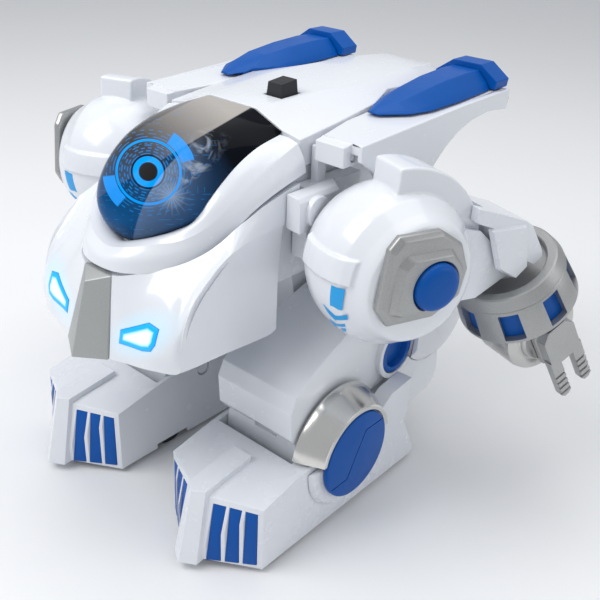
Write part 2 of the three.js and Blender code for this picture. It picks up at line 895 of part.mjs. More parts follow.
  // forearm drum group: its own Z axis is the drum axis, pointing up the arm
  const fore = new THREE.Group();
  fore.position.set(0, ELBOW[0], ELBOW[1]);
  fore.rotation.x = Math.atan2(ARM_SIN, ARM_COS);
  arm.add(fore);
  const zturn = (prof, n = 32) => {
    const g = new THREE.LatheGeometry(prof.map(([r, z]) => new THREE.Vector2(r, z)), n);
    g.rotateX(Math.PI / 2);
    let c = clean(g);
    try {
      const t = toSolid(c);
      if (t.volume() > 0) return t;
      throw new Error("in");
    } catch (e) {
      const ix = Array.from(c.index.array);
      for (let i = 0; i < ix.length; i += 3) [ix[i + 1], ix[i + 2]] = [ix[i + 2], ix[i + 1]];
      c.setIndex(ix);
      return toSolid(c);
    }
  };
  // silver drum: bevelled rim, windowed wall, open underneath
  let drum = zturn([
    [0, -4.5],
    [19.6, -4.5],
    [20.4, 0],
    [25, 0],
    [DRUM_R_TOP + 0.6, -6],
    [DRUM_R_TOP + 0.6, -7.4],
    [DRUM_R_BOTTOM, -DRUM_H],
    [DRUM_R_BOTTOM - 3, -DRUM_H],
    [DRUM_R_BOTTOM - 5, -8.8],
    [0, -8.8],
    [0, -4.5],
  ]);
  const windows = [];
  for (let i = 0; i < 8; i++) {
    const g = new THREE.BoxGeometry(9.4, 12, 15.6).translate(0, -28, -16.4);
    g.rotateZ((i * Math.PI) / 4 + 0.05);
    windows.push(toSolid(g));
  }
  const pivot = toSolid(new THREE.CylinderGeometry(7.4, 7.4, 12, 24).rotateX(Math.PI / 2).translate(0, 0, -6));
  drum = cut(drum, pivot, ...windows);
  add(fore, side + "_forearm_drum", drum, silver);
  // blue liner behind the windows
  add(
    fore,
    side + "_drum_liner",
    zturn([
      [20.4, -9.4],
      [23.6, -9.4],
      [25.2, -DRUM_H + 1],
      [22.4, -DRUM_H + 1],
      [20.4, -9.4],
    ], 24),
    blue,
  );
  // rounded wrist barrel under the drum, with a flat top
  const wristA = 18; // below the drum's lower rim
  const wz = -DRUM_H - wristA;
  const wrist = both(
    join(xcyl(-13, 11.6, 0, wz, 21.6, 21.6, 32), xcyl(-16.4, 14.8, 0, wz, 14, 14, 32)),
    box(-40, 40, -40, 40, -90, -9.3),
  );
  add(
    fore,
    side + "_wrist",
    cut(wrist, xcyl(8, 30, 0, wz, 3.6, 3.6, 20)),
    silver,
  );
  // two-prong gripper on the outer face of the wrist
  const handZ = wz; // turning axis of the gripper
  const pc = 1; // the prongs sit evenly about this offset
  const plate = (x0, x1, g) =>
    hull([
      ...[x0, x1].flatMap((x) => [
        [x, -9.5 + pc - g, handZ + 6 + g],
        [x, -5 + pc - g, handZ + 11.5 + g],
        [x, 5 + pc + g, handZ + 11.5 + g],
        [x, 9.5 + pc + g, handZ + 6 + g],
        [x, 9.5 + pc + g, handZ - 12],
        [x, -9.5 + pc - g, handZ - 12],
      ]),
    ]);
  const prong = (y0, y1) =>
    hull([
      [19.6, y0, handZ - 8],
      [24.4, y0, handZ - 8],
      [19.6, y1, handZ - 8],
      [24.4, y1, handZ - 8],
      [19.6, y0, handZ - 33.5],
      [24.4, y0, handZ - 33.5],
      [19.6, y1, handZ - 33.5],
      [24.4, y1, handZ - 33.5],
      [20.2, y0 + 1.8, handZ - 36.4],
      [23.8, y0 + 1.8, handZ - 36.4],
      [20.2, y1 - 1.8, handZ - 36.4],
      [23.8, y1 - 1.8, handZ - 36.4],
    ]);
  let gripper = join(
    plate(15.2, 18.2, 0.6),
    plate(18.1, 24.4, 0),
    prong(-9.1, -2.7),
    prong(4.7, 11.1),
    xcyl(9, 15.4, 0, handZ, 3.2, 3.2, 20),
  );
  // grip grooves across the prongs
  for (const z of [-19.5, -23.7, -27.9, -32.1])
    gripper = gripper.subtract(box(23.7, 26, -12, 14, handZ + z - 0.8, handZ + z + 0.8));
  add(fore, side + "_gripper", gripper, silver);

  // ---------- leg ----------
  const leg = new THREE.Group();
  half.add(leg);
  const thighProfile = [
    [-83, 50.5],
    [-86.5, 55],
    [-87.5, 70],
    [-84, 77.5],
    [-76, 82],
    [-60, 88],
    [-30, 98],
    [0, 106],
    [27, 108],
    [44, 102],
    [55, 86],
    [54, 70],
    [44, 57],
    [27, 51.8],
    [8, 54],
    [-10, 52],
    [-34, 50],
  ];
  const thigh = cut(
    join(
      both(
        xprism(24, 71.6, thighProfile),
        // the outer upper edge slopes, so the top of the thigh is crowned
        hull([
          [24, -100, 48],
          [71.6, -100, 48],
          [71.6, -100, 78],
          [64, -100, 110],
          [27, -100, 110],
          [24, -100, 78],
          [24, 70, 48],
          [65.4, 70, 48],
          [65.4, 70, 88],
          [62, 70, 112],
          [27, 70, 112],
          [24, 70, 88],
        ]),
      ),
      xcyl(24, 71.6, ...ANKLE, 25.6, 25.6, 36),
      // heel block at the back
      xprism(50, 71.6, [
        [-6, 60],
        [-2.8, 34.4],
        [4.5, 26.4],
        [30, 29],
        [35, 33],
        [37.5, 40],
        [36, 50],
        [33, 60],
      ]),
      // collar round the port
      both(xcyl(60, 71.95, ...PORT, 15.6, 15.6, 32), box(50, 80, -30, 15, 40, 100)),
    ),
    // hollow inside, open towards the pelvis, with a boss for the hip axle
    cut(
      join(
        hull([
          [20, -84, 58],
          [66, -84, 58],
          [20, -84, 71],
          [66, -84, 71],
          [20, -76, 78],
          [64, -76, 78],
          [20, -12, 98],
          [60, -12, 98],
          [20, -12, 56],
          [66, -12, 56],
          [20, -80, 55],
          [66, -80, 55],
        ]),
        hull([
          [20, -30, 57],
          [57, -30, 57],
          [20, -30, 92],
          [57, -30, 92],
          [20, 45, 64],
          [57, 45, 64],
          [20, 51, 74],
          [57, 51, 74],
          [20, 40, 98],
          [57, 40, 98],
          [20, 0, 101],
          [57, 0, 101],
        ]),
      ),
      xcyl(24, 63, ...HIP, 9, 9, 24),
      xcyl(60, 72, ...PORT, 15.6, 15.6, 32),
      box(15, 80, -92, -76, 50, 58.5),
      xcyl(15, 80, ...ANKLE, 20, 20, 24),
    ),
    // axle bores
    xcyl(20, 80, ...ANKLE, 4.4, 4.4, 20),
    xcyl(20, 70, ...HIP, 4.4, 4.4, 20),
    // port recess
    xcyl(66, 80, ...PORT, 12.8, 12.8, 32),
    // seats of the hip discs
    xcyl(59.6, 80, ...HIP, HIP_R + 0.4, HIP_R + 0.4, 40),
    // slot in the lower front edge
    box(42, 56, -100, -78, 46, 54.5),
  );
  add(leg, side + "_leg_shell", thigh, white);
  add(leg, side + "_thigh_port", cut(xcyl(66.4, 71.4, ...PORT, 12.4, 12.4, 28), xcyl(67.8, 76, ...PORT, 8.5, 10.6, 28)), blue);
  add(
    leg,
    side + "_hip_disc",
    cut(
      join(xcyl(66.4, 72, ...HIP, HIP_R, HIP_R, 40), xcyl(71.9, 75.4, ...HIP, HIP_R, HIP_R - 4, 40)),
      // the disc is cut away towards the thigh
      box(60, 80, -30, 8, 40, 120),
      box(60, 80, -30, 60, 96, 130),
    ),
    white,
  );

  // foot: wedge shell, V toe, open pocket for the ankle, open underneath
  const x0 = FOOT_X - FOOT_HALF_W;
  const x1 = FOOT_X + FOOT_HALF_W;
  const footToe = hull([
    [x0, FOOT_FRONT, SOLE_Z],
    [x1, FOOT_FRONT, SOLE_Z],
    [x0, FOOT_FRONT, 37.6],
    [x1, FOOT_FRONT, 37.6],
    [FOOT_X, FOOT_NOSE + 3, 5.2],
    [FOOT_X, FOOT_NOSE + 11, 38.2],
    [x0, -88, 42.4],
    [x1, -88, 42.4],
    [x0, -88, SOLE_Z],
    [x1, -88, SOLE_Z],
  ]);
  const footBody = xprism(x0, x1, [
    [-90, SOLE_Z],
    [5.5, SOLE_Z],
    [7, 4.5],
    [-6.4, 30.6],
    [-3.2, 34],
    [-3.2, 55.5],
    [-20, 53.6],
    [-32, 46],
    [-80, 43.6],
    [-90, 42.1],
  ]);
  // raised rib down the middle of the toe
  const toeRib = hull([
    [FOOT_X - 5.5, -97, 42.6],
    [FOOT_X + 5.5, -97, 42.6],
    [FOOT_X - 5.5, -97, 44.8],
    [FOOT_X + 5.5, -97, 44.8],
    [FOOT_X - 5.8, -126.5, 41.2],
    [FOOT_X + 5.8, -126.5, 41.2],
    [FOOT_X - 5.8, -126.5, 30],
    [FOOT_X, -130.2, 41],
    [FOOT_X + 5.8, -126.5, 30],
    [FOOT_X - 7.5, -134.5, 4],
    [FOOT_X + 7.5, -134.5, 4],
    [FOOT_X, -139.2, 4.2],
    [FOOT_X - 7, -128, 4],
    [FOOT_X + 7, -128, 4],
    [FOOT_X - 5, -120, 30],
    [FOOT_X + 5, -120, 30],
  ]);
  const strips = [];
  const stripBodies = [];
  for (const f of [-1, 1])
    for (const [a, b] of [
      [8.4, 14.1],
      [15.6, 21],
      [22.5, 27.8],
    ]) {
      const yAt = (d, z) => {
        const t = (z - SOLE_Z) / (37.6 - SOLE_Z);
        const nose = FOOT_NOSE + 3 + 8 * t;
        return nose + ((FOOT_FRONT - nose) * d) / FOOT_HALF_W;
      };
      const prism = (grow, front, back) => {
        const q = [];
        for (const [d, z] of [
          [a - grow, 4.6 - grow],
          [b + grow, 4.6 - grow],
          [b + grow, 35 + grow],
          [a - grow, 35 + grow],
        ])
          for (const dy of [front, back]) q.push([FOOT_X + f * d, yAt(d, z) + dy, z]);
        return hull(q);
      };
      strips.push(prism(0, -8, 5));
      stripBodies.push(prism(-0.35, 0.7, 4.9));
    }
  const toeInner = hull([
    [x0 + 2.6, FOOT_FRONT + 3, SOLE_Z - 2],
    [x1 - 2.6, FOOT_FRONT + 3, SOLE_Z - 2],
    [x0 + 2.6, FOOT_FRONT + 3, 34.6],
    [x1 - 2.6, FOOT_FRONT + 3, 34.6],
    [FOOT_X, FOOT_NOSE + 6.8, SOLE_Z - 2],
    [FOOT_X, FOOT_NOSE + 14.6, 34.8],
    [x0 + 2.6, -91, 38.8],
    [x1 - 2.6, -91, 38.8],
    [x0 + 2.6, -91, SOLE_Z - 2],
    [x1 - 2.6, -91, SOLE_Z - 2],
  ]);
  const vee = (front, back, z0, z1) => {
    const at = (z) => FOOT_NOSE + 3 + (8 * (z - SOLE_Z)) / (37.6 - SOLE_Z);
    const one = (f) =>
      hull(
        [z0, z1].flatMap((z) =>
          [front, back].flatMap((d) => [
            [FOOT_X + f * (FOOT_HALF_W - 3.6), at(z) + (FOOT_FRONT - at(z)) * 0.9 + d, z],
            [FOOT_X, at(z) + d, z],
          ]),
        ),
      );
    return join(one(-1), one(1));
  };
  const stripBack = vee(4.4, 6.6, 5.4, 34);
  const toeInsert = join(stripBack, ...stripBodies);
  const foot = cut(
    join(footToe, footBody, toeRib),
    toeInner,
    ...strips,
    // underside hollow behind the toe
    box(x0 + 2.6, x1 - 2.6, -91.5, -88, 0, 38.6),
    box(x0 + 2.6, x1 - 9.5, -88.5, 0.5, 0, 8.8),
    // pocket for the ankle barrel, open on top
    box(x0 + 2.6, x1 - 8.6, -86.5, 40, 11.2, 80),
    // roller arches, through the sole
    xcyl(x0 + 1.8, x0 + 10.2, ROLLER_Y, ROLLER_R, ROLLER_R + 1, ROLLER_R + 1, 28),
    box(x0 - 1, x0 + 3, ROLLER_Y - 11, ROLLER_Y + 11, 0, 5),
    xcyl(x0 + 0.6, x0 + 12, ROLLER_Y, ROLLER_R, 2.2, 2.2, 16),
    // ankle axle bore and rear roller bay
    xcyl(x0 - 1, x1 + 1, ...ANKLE, 4.4, 4.4, 20),
    box(x0 + 5, x0 + 36, REAR_Y - 6, 2.6, 0, 12),
    xcyl(x0 + 0.8, x1 - 6, REAR_Y, 5.2, 1.9, 1.9, 16),
  );
  add(leg, side + "_foot_shell", foot, white);
  add(leg, side + "_toe_insert", toeInsert, blue);
  // white hub lobe, blue disc and bright ring on the outer side of the foot
  add(
    leg,
    side + "_ankle_hub",
    cut(
      join(xcyl(x1 + GAP, 83.6, ...ANKLE, 29.6, 27.4, 40), xcyl(83.5, 84.2, ...ANKLE, 24, 24, 40)),
      box(70, 100, -100, 0, 40, 90),
    ).add(xcyl(x0 + 0.5, 84.2, ...ANKLE, 3.9, 3.9, 20)),
    white,
  );
  add(leg, side + "_ankle_disc", join(xcyl(84.55, 86.8, ...ANKLE, ANKLE_DISC_R, ANKLE_DISC_R, 40), xcyl(86.7, 87.3, ...ANKLE, ANKLE_DISC_R, ANKLE_DISC_R - 0.7, 40)), blue);
  const ring = cut(
    join(
      xcyl(72.3, 76.4, ...ANKLE, 32, 31, 44),
      xcyl(76.3, 86.9, ...ANKLE, 31, 25.6, 44),
    ),
    xcyl(70, 90, ...ANKLE, 23.1, 23.1, 44),
    hull([
      [70, -110, 44.2],
      [70, 0, 48.8],
      [70, -110, -20],
      [70, 0, -20],
      [92, -110, 42.4],
      [92, 0, 42.4],
      [92, -110, -20],
      [92, 0, -20],
    ]),
    // the back of the ring clears the leg and the rear of the foot
    box(70, 81.6, -34, 10, 30, 60),
  );
  add(leg, side + "_ankle_ring", ring, chrome);
  // front roller ball under the toe, drive rollers at the inner edge
  const caster = new THREE.SphereGeometry(3.6, 16, 10);
  caster.rotateX(Math.PI / 2);
  caster.translate(FOOT_X, FOOT_NOSE + 14.4, 3.6);
  add(leg, side + "_toe_caster", toSolid(caster), white);
  add(leg, side + "_front_roller", join(
      xcyl(x0 + 2.4, x0 + 9.6, ROLLER_Y, ROLLER_R, ROLLER_R, ROLLER_R, 32),
      xcyl(x0 + 1, x0 + 11.6, ROLLER_Y, ROLLER_R, 1.8, 1.8, 16),
    ), black);
  add(leg, side + "_rear_roller", join(xcyl(x0 + 6, x0 + 35, REAR_Y, 5.2, 5.2, 5.2, 24), xcyl(x0 + 1.2, x1 - 6.4, REAR_Y, 5.2, 1.5, 1.5, 16)), black);
}

export default root;
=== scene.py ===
import bpy, bmesh, json, math
import numpy as np
from mathutils import Vector, Matrix


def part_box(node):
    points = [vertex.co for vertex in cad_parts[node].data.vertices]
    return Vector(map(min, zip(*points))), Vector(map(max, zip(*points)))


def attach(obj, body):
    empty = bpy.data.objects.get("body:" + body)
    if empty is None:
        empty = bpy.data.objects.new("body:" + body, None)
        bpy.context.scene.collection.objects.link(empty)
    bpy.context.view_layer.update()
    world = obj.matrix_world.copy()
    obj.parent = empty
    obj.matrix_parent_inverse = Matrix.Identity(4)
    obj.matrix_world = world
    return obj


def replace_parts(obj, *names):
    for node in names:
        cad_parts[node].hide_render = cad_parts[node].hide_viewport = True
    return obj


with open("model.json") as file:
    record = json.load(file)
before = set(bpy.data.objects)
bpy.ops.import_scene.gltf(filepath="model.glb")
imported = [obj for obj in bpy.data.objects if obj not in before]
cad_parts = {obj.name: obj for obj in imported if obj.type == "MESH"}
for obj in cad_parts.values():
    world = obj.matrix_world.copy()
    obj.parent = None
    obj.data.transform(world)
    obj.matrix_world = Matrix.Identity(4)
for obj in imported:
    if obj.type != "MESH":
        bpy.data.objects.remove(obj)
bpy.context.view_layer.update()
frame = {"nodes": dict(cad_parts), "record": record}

MM = 0.001
CY = 28.0          # the drawing's y = 0 sits 28 mm behind the origin
D = bpy.data


def P(x, y, z):
    return (x * MM, (y + CY) * MM, z * MM)


# ------------------------------------------------------------------ node helpers
class Mat:
    """A small builder for node materials."""

    def __init__(self, name):
        self.m = D.materials.new(name)
        self.m.use_nodes = True
        self.t = self.m.node_tree
        self.n = self.t.nodes
        self.b = self.n["Principled BSDF"]

    def node(self, kind, **kw):
        nd = self.n.new(kind)
        for k, v in kw.items():
            setattr(nd, k, v)
        return nd

    def link(self, a, b):
        self.t.links.new(a, b)

    def coord(self):
        return self.node("ShaderNodeTexCoord").outputs["Object"]

    def math(self, op, a, b=None, c=None, clamp=False):
        nd = self.node("ShaderNodeMath", operation=op, use_clamp=clamp)
        for i, v in enumerate((a, b, c)):
            if v is None:
                continue
            if isinstance(v, (int, float)):
                nd.inputs[i].default_value = v
            else:
                self.link(v, nd.inputs[i])
        return nd.outputs[0]

    def vmath(self, op, a, b=None):
        nd = self.node("ShaderNodeVectorMath", operation=op)
        for i, v in enumerate((a, b)):
            if v is None:
                continue
            if isinstance(v, (tuple, list)):
                nd.inputs[i].default_value = v
            else:
                self.link(v, nd.inputs[i])
        return nd.outputs["Value"] if op in ("DOT_PRODUCT", "LENGTH", "DISTANCE") else nd.outputs[0]

    def mix(self, fac, a, b):
        nd = self.node("ShaderNodeMix", data_type="RGBA")
        for s, v in ((nd.inputs[0], fac), (nd.inputs[6], a), (nd.inputs[7], b)):
            if isinstance(v, (int, float)):
                s.default_value = v
            elif isinstance(v, (tuple, list)):
                s.default_value = (*v, 1.0) if len(v) == 3 else v
            else:
                self.link(v, s)
        return nd.outputs[2]

    def noise(self, scale, detail=3.0, vec=None, rough=0.5):
        nd = self.node("ShaderNodeTexNoise")
        nd.inputs["Scale"].default_value = scale
        nd.inputs["Detail"].default_value = detail
        nd.inputs["Roughness"].default_value = rough
        self.link(vec if vec is not None else self.coord(), nd.inputs["Vector"])
        return nd.outputs["Fac"]

    def remap(self, v, a, b, c, d):
        nd = self.node("ShaderNodeMapRange")
        nd.inputs[1].default_value, nd.inputs[2].default_value = a, b
        nd.inputs[3].default_value, nd.inputs[4].default_value = c, d
        self.link(v, nd.inputs[0])
        return nd.outputs[0]

    def step(self, v, lo, hi):
        """1 where v lies between lo and hi, with a thin soft edge."""
        return self.math("MULTIPLY", self.remap(v, lo - 1e-4, lo + 1e-4, 0, 1), self.remap(v, hi - 1e-4, hi + 1e-4, 1, 0))

    def bump(self, h, strength, dist=0.001):
        nd = self.node("ShaderNodeBump")
        nd.inputs["Strength"].default_value = strength
        nd.inputs["Distance"].default_value = dist
        self.link(h, nd.inputs["Height"])
        self.link(nd.outputs[0], self.b.inputs["Normal"])

    def col(self, c):
        if isinstance(c, (tuple, list)):
            self.b.inputs["Base Color"].default_value = (*c, 1)
        else:
            self.link(c, self.b.inputs["Base Color"])

    def rough(self, r):
        if isinstance(r, (int, float)):
            self.b.inputs["Roughness"].default_value = r
        else:
            self.link(r, self.b.inputs["Roughness"])


def plastic(name, c1, c2, r0, r1, coat=0.35, coat_rough=0.06, grain=0.02):
    m = Mat(name)
    v = m.coord()
    n1 = m.noise(18.0, 4.0, v)
    n2 = m.noise(900.0, 2.0, v)
    n3 = m.noise(140.0, 3.0, v)
    m.col(m.mix(m.remap(n1, 0.3, 0.7, 0, 1), c1, c2))
    m.rough(m.remap(m.math("ADD", m.math("MULTIPLY", n1, 0.5), m.math("MULTIPLY", n3, 0.5)), 0.3, 0.7, r0, r1))
    m.b.inputs["Coat Weight"].default_value = coat
    m.b.inputs["Coat Roughness"].default_value = coat_rough
    m.b.inputs["IOR"].default_value = 1.47
    m.bump(n2, grain, 0.0003)
    return m


WHITE_A, WHITE_B = (0.80, 0.82, 0.86), (0.765, 0.79, 0.835)
white = plastic("gloss_white_plastic", WHITE_A, WHITE_B, 0.2, 0.3, grain=0.0)
blue = plastic("royal_blue_plastic", (0.0, 0.090, 0.40), (0.0, 0.080, 0.36), 0.34, 0.46, 0.03, 0.1)
blue.b.inputs["Specular IOR Level"].default_value = 0.2
black = plastic("black_rubber", (0.012, 0.013, 0.016), (0.022, 0.023, 0.026), 0.5, 0.7, 0.0, 0.3, 0.25)
dark = plastic("dark_grey_plastic", (0.035, 0.038, 0.043), (0.05, 0.053, 0.06), 0.42, 0.55, 0.0, 0.3, 0.15)
board = plastic("circuit_board_green", (0.01, 0.13, 0.05), (0.015, 0.18, 0.07), 0.35, 0.5)


def metal(name, c1, c2, r0, r1, metallic, flakes=0.0, streak=None):
    m = Mat(name)
    v = m.coord()
    n1 = m.noise(30.0, 4.0, v)
    fine = m.noise(2600.0, 1.0, v)
    base = m.mix(m.remap(n1, 0.3, 0.7, 0, 1), c1, c2)
    if flakes:
        base = m.mix(m.math("MULTIPLY", m.remap(fine, 0.35, 0.75, 0, 1), flakes), base, (0.8, 0.81, 0.82))
    m.col(base)
    m.rough(m.remap(n1, 0.3, 0.7, r0, r1))
    m.b.inputs["Metallic"].default_value = metallic
    m.bump(fine, 0.05 if flakes else 0.02, 0.0002)
    return m


silver = metal("satin_silver_paint", (0.40, 0.405, 0.40), (0.35, 0.355, 0.35), 0.34, 0.44, 0.75, 0.18)
chrome = metal("bright_plated_ring", (0.74, 0.73, 0.70), (0.66, 0.65, 0.62), 0.16, 0.24, 1.0)
gunmetal = metal("keel_silver", (0.43, 0.44, 0.43), (0.39, 0.40, 0.39), 0.42, 0.5, 0.55, 0.12)

LOOKS = {"white": white, "blue": blue, "silver": silver, "bright": chrome, "black": black, "board": board,
         "eye": blue, "display": black}
SLOT_OF = {s["node"]: s["material_slot"] for s in frame["record"]["subparts"]}
BODY_OF = {n: b for b, ns in frame["record"]["behaviour"]["bodies"].items() for n in ns}


# ------------------------------------------------------------------ mesh helpers
made = set()


def obj_from(name, verts, faces, mat=None):
    me = D.meshes.new(name)
    me.from_pydata([tuple(v) for v in verts], [], faces)
    me.update()
    o = D.objects.new(name, me)
    bpy.context.scene.collection.objects.link(o)
    if mat is not None:
        me.materials.append(mat.m)
    return o


def apply_mods(o):
    dg = bpy.context.evaluated_depsgraph_get()
    me = D.meshes.new_from_object(o.evaluated_get(dg))
    old = o.data
    o.modifiers.clear()
    o.data = me
    if old.users == 0:
        D.meshes.remove(old)


def smooth_shade(o, angle=40):
    me = o.data
    me.polygons.foreach_set("use_smooth", [True] * len(me.polygons))
    try:
        me.set_sharp_from_angle(angle=math.radians(angle))
    except Exception:
        pass
    me.update()


def clean_normals(o):
    bm = bmesh.new()
    bm.from_mesh(o.data)
    bmesh.ops.recalc_face_normals(bm, faces=bm.faces)
    bm.to_mesh(o.data)
    bm.free()


def fuse(o, voxel=0.6, it=4, keep=0.5, factor=0.5):
    """Joins the closed forms of a piece into one moulded skin with small round edges."""
    r = o.modifiers.new("r", "REMESH")
    r.mode = "VOXEL"
    r.voxel_size = voxel * MM
    r.adaptivity = 0.0
    if it:
        s = o.modifiers.new("s", "SMOOTH")
        s.factor = factor
        s.iterations = it
    if keep < 1:
        d = o.modifiers.new("d", "DECIMATE")
        d.ratio = keep
    apply_mods(o)
    smooth_shade(o, 180)


def soften(node, name=None, voxel=0.7, it=4, keep=0.35, mat=None):
    src = frame["nodes"][node]
    me = src.data.copy()
    o = D.objects.new(name or node + ".skin", me)
    bpy.context.scene.collection.objects.link(o)
    fuse(o, voxel, it, keep)
    o.data.materials.clear()
    o.data.materials.append((mat or LOOKS[SLOT_OF[node]]).m)
    finish_piece(o, node)
    return o


def crisp(node, w=0.45, ang=27.0, seg=2, mat=None):
    """The node's own form with its sharp edges rounded by a small radius, like a moulded part."""
    me = frame["nodes"][node].data.copy()
    o = D.objects.new(node + ".skin", me)
    bpy.context.scene.collection.objects.link(o)
    bm = bmesh.new()
    bm.from_mesh(me)
    bmesh.ops.remove_doubles(bm, verts=bm.verts, dist=2e-5)
    bmesh.ops.dissolve_degenerate(bm, dist=2e-5, edges=bm.edges)
    bmesh.ops.dissolve_limit(bm, angle_limit=math.radians(0.8), verts=bm.verts, edges=bm.edges)
    es = []
    for e in bm.edges:
        L = e.calc_length()
        if len(e.link_faces) != 2 or e.calc_face_angle(0) < math.radians(ang) or L < 1.1 * w * MM:
            continue
        if min(f.calc_area() for f in e.link_faces) / L < 1.7 * w * MM:
            continue
        es.append(e)
    bmesh.ops.bevel(bm, geom=es, offset=w * MM, segments=seg, profile=0.6, affect="EDGES", clamp_overlap=False, loop_slide=True)
    big_faces = [f for f in bm.faces if len(f.verts) > 4]
    bmesh.ops.triangulate(bm, faces=big_faces)
    bmesh.ops.recalc_face_normals(bm, faces=bm.faces)
    bm.to_mesh(me)
    bm.free()
    smooth_shade(o, 40)
    wn = o.modifiers.new("w", "WEIGHTED_NORMAL")
    wn.keep_sharp = True
    wn.weight = 80
    apply_mods(o)
    o.data.materials.clear()
    o.data.materials.append((mat or LOOKS[SLOT_OF[node]]).m)
    finish_piece(o, node)
    made.add(node)
    return o


def finish_piece(o, *nodes, body=None, slot=None):
    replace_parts(o, *nodes) if nodes else None
    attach(o, body or BODY_OF[nodes[0]])
    return o


def auto(node, **kw):
    made.add(node)
    return soften(node, **kw)


def spline(pts, n):
    """Catmull-Rom through the points, n steps between each two."""
    p = np.asarray(pts, float)
    p = np.vstack([2 * p[:1] - p[1:2], p, 2 * p[-1:] - p[-2:-1]])
    out = []
    for i in range(1, len(p) - 2):
        for k in range(n):
            t = k / n
            out.append(0.5 * (2 * p[i] + (p[i + 1] - p[i - 1]) * t + (2 * p[i - 1] - 5 * p[i] + 4 * p[i + 1] - p[i + 2]) * t * t
                              + (3 * p[i] - p[i - 1] - 3 * p[i + 1] + p[i + 2]) * t ** 3))
    out.append(p[-2])
    return np.array(out)


def patch(cols, nu, nv):
    """A smooth grid through columns of points: nv steps along a column, nu steps from column to column."""
    fine = np.array([spline(c, nv) for c in cols])
    return np.array([spline(fine[:, j], nu) for j in range(fine.shape[1])]).transpose(1, 0, 2)


class Build:
    """Collects faces in millimetres of the drawing, then makes one object."""

    def __init__(self):
        self.bm = bmesh.new()

    def grid(self, g, flip=False):
        v = [[self.bm.verts.new(P(*p)) for p in row] for row in g]
        for i in range(len(v) - 1):
            for j in range(len(v[0]) - 1):
                q = [v[i][j], v[i + 1][j], v[i + 1][j + 1], v[i][j + 1]]
                if flip:
                    q.reverse()
                try:
                    self.bm.faces.new(q)
                except ValueError:
                    pass
        return self

    def hull(self, pts, bevel=0.0, seg=2, M=None):
        bm = bmesh.new()
        for p in pts:
            p = Vector(p)
            if M is not None:
                p = M @ p
            bm.verts.new(P(*p))
        r = bmesh.ops.convex_hull(bm, input=bm.verts)
        junk = [e for e in r["geom_interior"] if isinstance(e, bmesh.types.BMVert)]
        bmesh.ops.delete(bm, geom=junk, context="VERTS")
        bmesh.ops.dissolve_limit(bm, angle_limit=math.radians(1.5), verts=bm.verts, edges=bm.edges)
        if bevel:
            es = [e for e in bm.edges if len(e.link_faces) == 2 and e.calc_face_angle(0) > math.radians(12)]
            bmesh.ops.bevel(bm, geom=es, offset=bevel * MM, segments=seg, profile=0.6, affect="EDGES", clamp_overlap=True)
        bmesh.ops.recalc_face_normals(bm, faces=bm.faces)
        self.take(bm)
        return self

    def take(self, bm):
        me = D.meshes.new("t")
        bm.to_mesh(me)
        bm.free()
        self.bm.from_mesh(me)
        D.meshes.remove(me)

    def lathe(self, prof, M, n=96, closed=False):
        """prof: [(radius, height)] from axis to axis or a closed loop; M maps the axis frame (Z is the axis) to the drawing."""
        rings = []
        for r, h in prof:
            if r < 1e-6:
                rings.append([self.bm.verts.new(P(*(M @ Vector((0, 0, h)))))])
            else:
                rings.append([self.bm.verts.new(P(*(M @ Vector((r * math.cos(2 * math.pi * k / n), r * math.sin(2 * math.pi * k / n), h))))) for k in range(n)])
        pairs = list(zip(rings, rings[1:]))
        if closed:
            pairs.append((rings[-1], rings[0]))
        for a_, b_ in pairs:
            for k in range(n):
                k2 = (k + 1) % n
                if len(a_) == 1 and len(b_) == 1:
                    continue
                if len(a_) == 1:
                    self.bm.faces.new((a_[0], b_[k2], b_[k]))
                elif len(b_) == 1:
                    self.bm.faces.new((a_[k], a_[k2], b_[0]))
                else:
                    self.bm.faces.new((a_[k], a_[k2], b_[k2], b_[k]))
        return self

    def prism(self, outline, lo, hi, frame_fn, bevel=0.0, seg=2):
        """outline [(u, v)] pushed from lo to hi; frame_fn(u, v, w) gives the drawing's point."""
        bm = bmesh.new()
        A = [bm.verts.new(P(*frame_fn(u, v, lo))) for u, v in outline]
        B = [bm.verts.new(P(*frame_fn(u, v, hi))) for u, v in outline]
        n = len(outline)
        bm.faces.new(A)
        bm.faces.new(list(reversed(B)))
        for k in range(n):
            bm.faces.new((A[k], B[k], B[(k + 1) % n], A[(k + 1) % n]))
        bmesh.ops.recalc_face_normals(bm, faces=bm.faces)
        if bevel:
            es = [e for e in bm.edges if len(e.link_faces) == 2 and e.calc_face_angle(0) > math.radians(25)]
            bmesh.ops.bevel(bm, geom=es, offset=bevel * MM, segments=seg, profile=0.6, affect="EDGES", clamp_overlap=True)
        self.take(bm)
        return self

    def obj(self, name, mat, merge=1e-5, normals=True):
        bm = self.bm
        if merge:
            bmesh.ops.remove_doubles(bm, verts=bm.verts, dist=merge)
        if normals:
            bmesh.ops.recalc_face_normals(bm, faces=bm.faces)
        me = D.meshes.new(name)
        bm.to_mesh(me)
        bm.free()
        o = D.objects.new(name, me)
        bpy.context.scene.collection.objects.link(o)
        me.materials.append(mat.m)
        return o


def mod_bool(o, other, op="DIFFERENCE"):
    m = o.modifiers.new("b", "BOOLEAN")
    m.operation = op
    m.solver = "EXACT"
    m.object = other
    apply_mods(o)
    D.objects.remove(other, do_unlink=True)
    return o


def shell_of(o, thick, bevel=0.4, angle=35, offset=-1.0, seg=3):
    so = o.modifiers.new("s", "SOLIDIFY")
    so.thickness = thick * MM
    so.offset = offset
    so.use_even_offset = True
    if bevel:
        bv = o.modifiers.new("b", "BEVEL")
        bv.width = bevel * MM
        bv.segments = seg
        bv.limit_method = "ANGLE"
        bv.angle_limit = math.radians(angle)
        bv.use_clamp_overlap = True
    apply_mods(o)
    smooth_shade(o, 40)
    wn = o.modifiers.new("w", "WEIGHTED_NORMAL")
    wn.keep_sharp = True
    wn.weight = 60
    apply_mods(o)
    return o


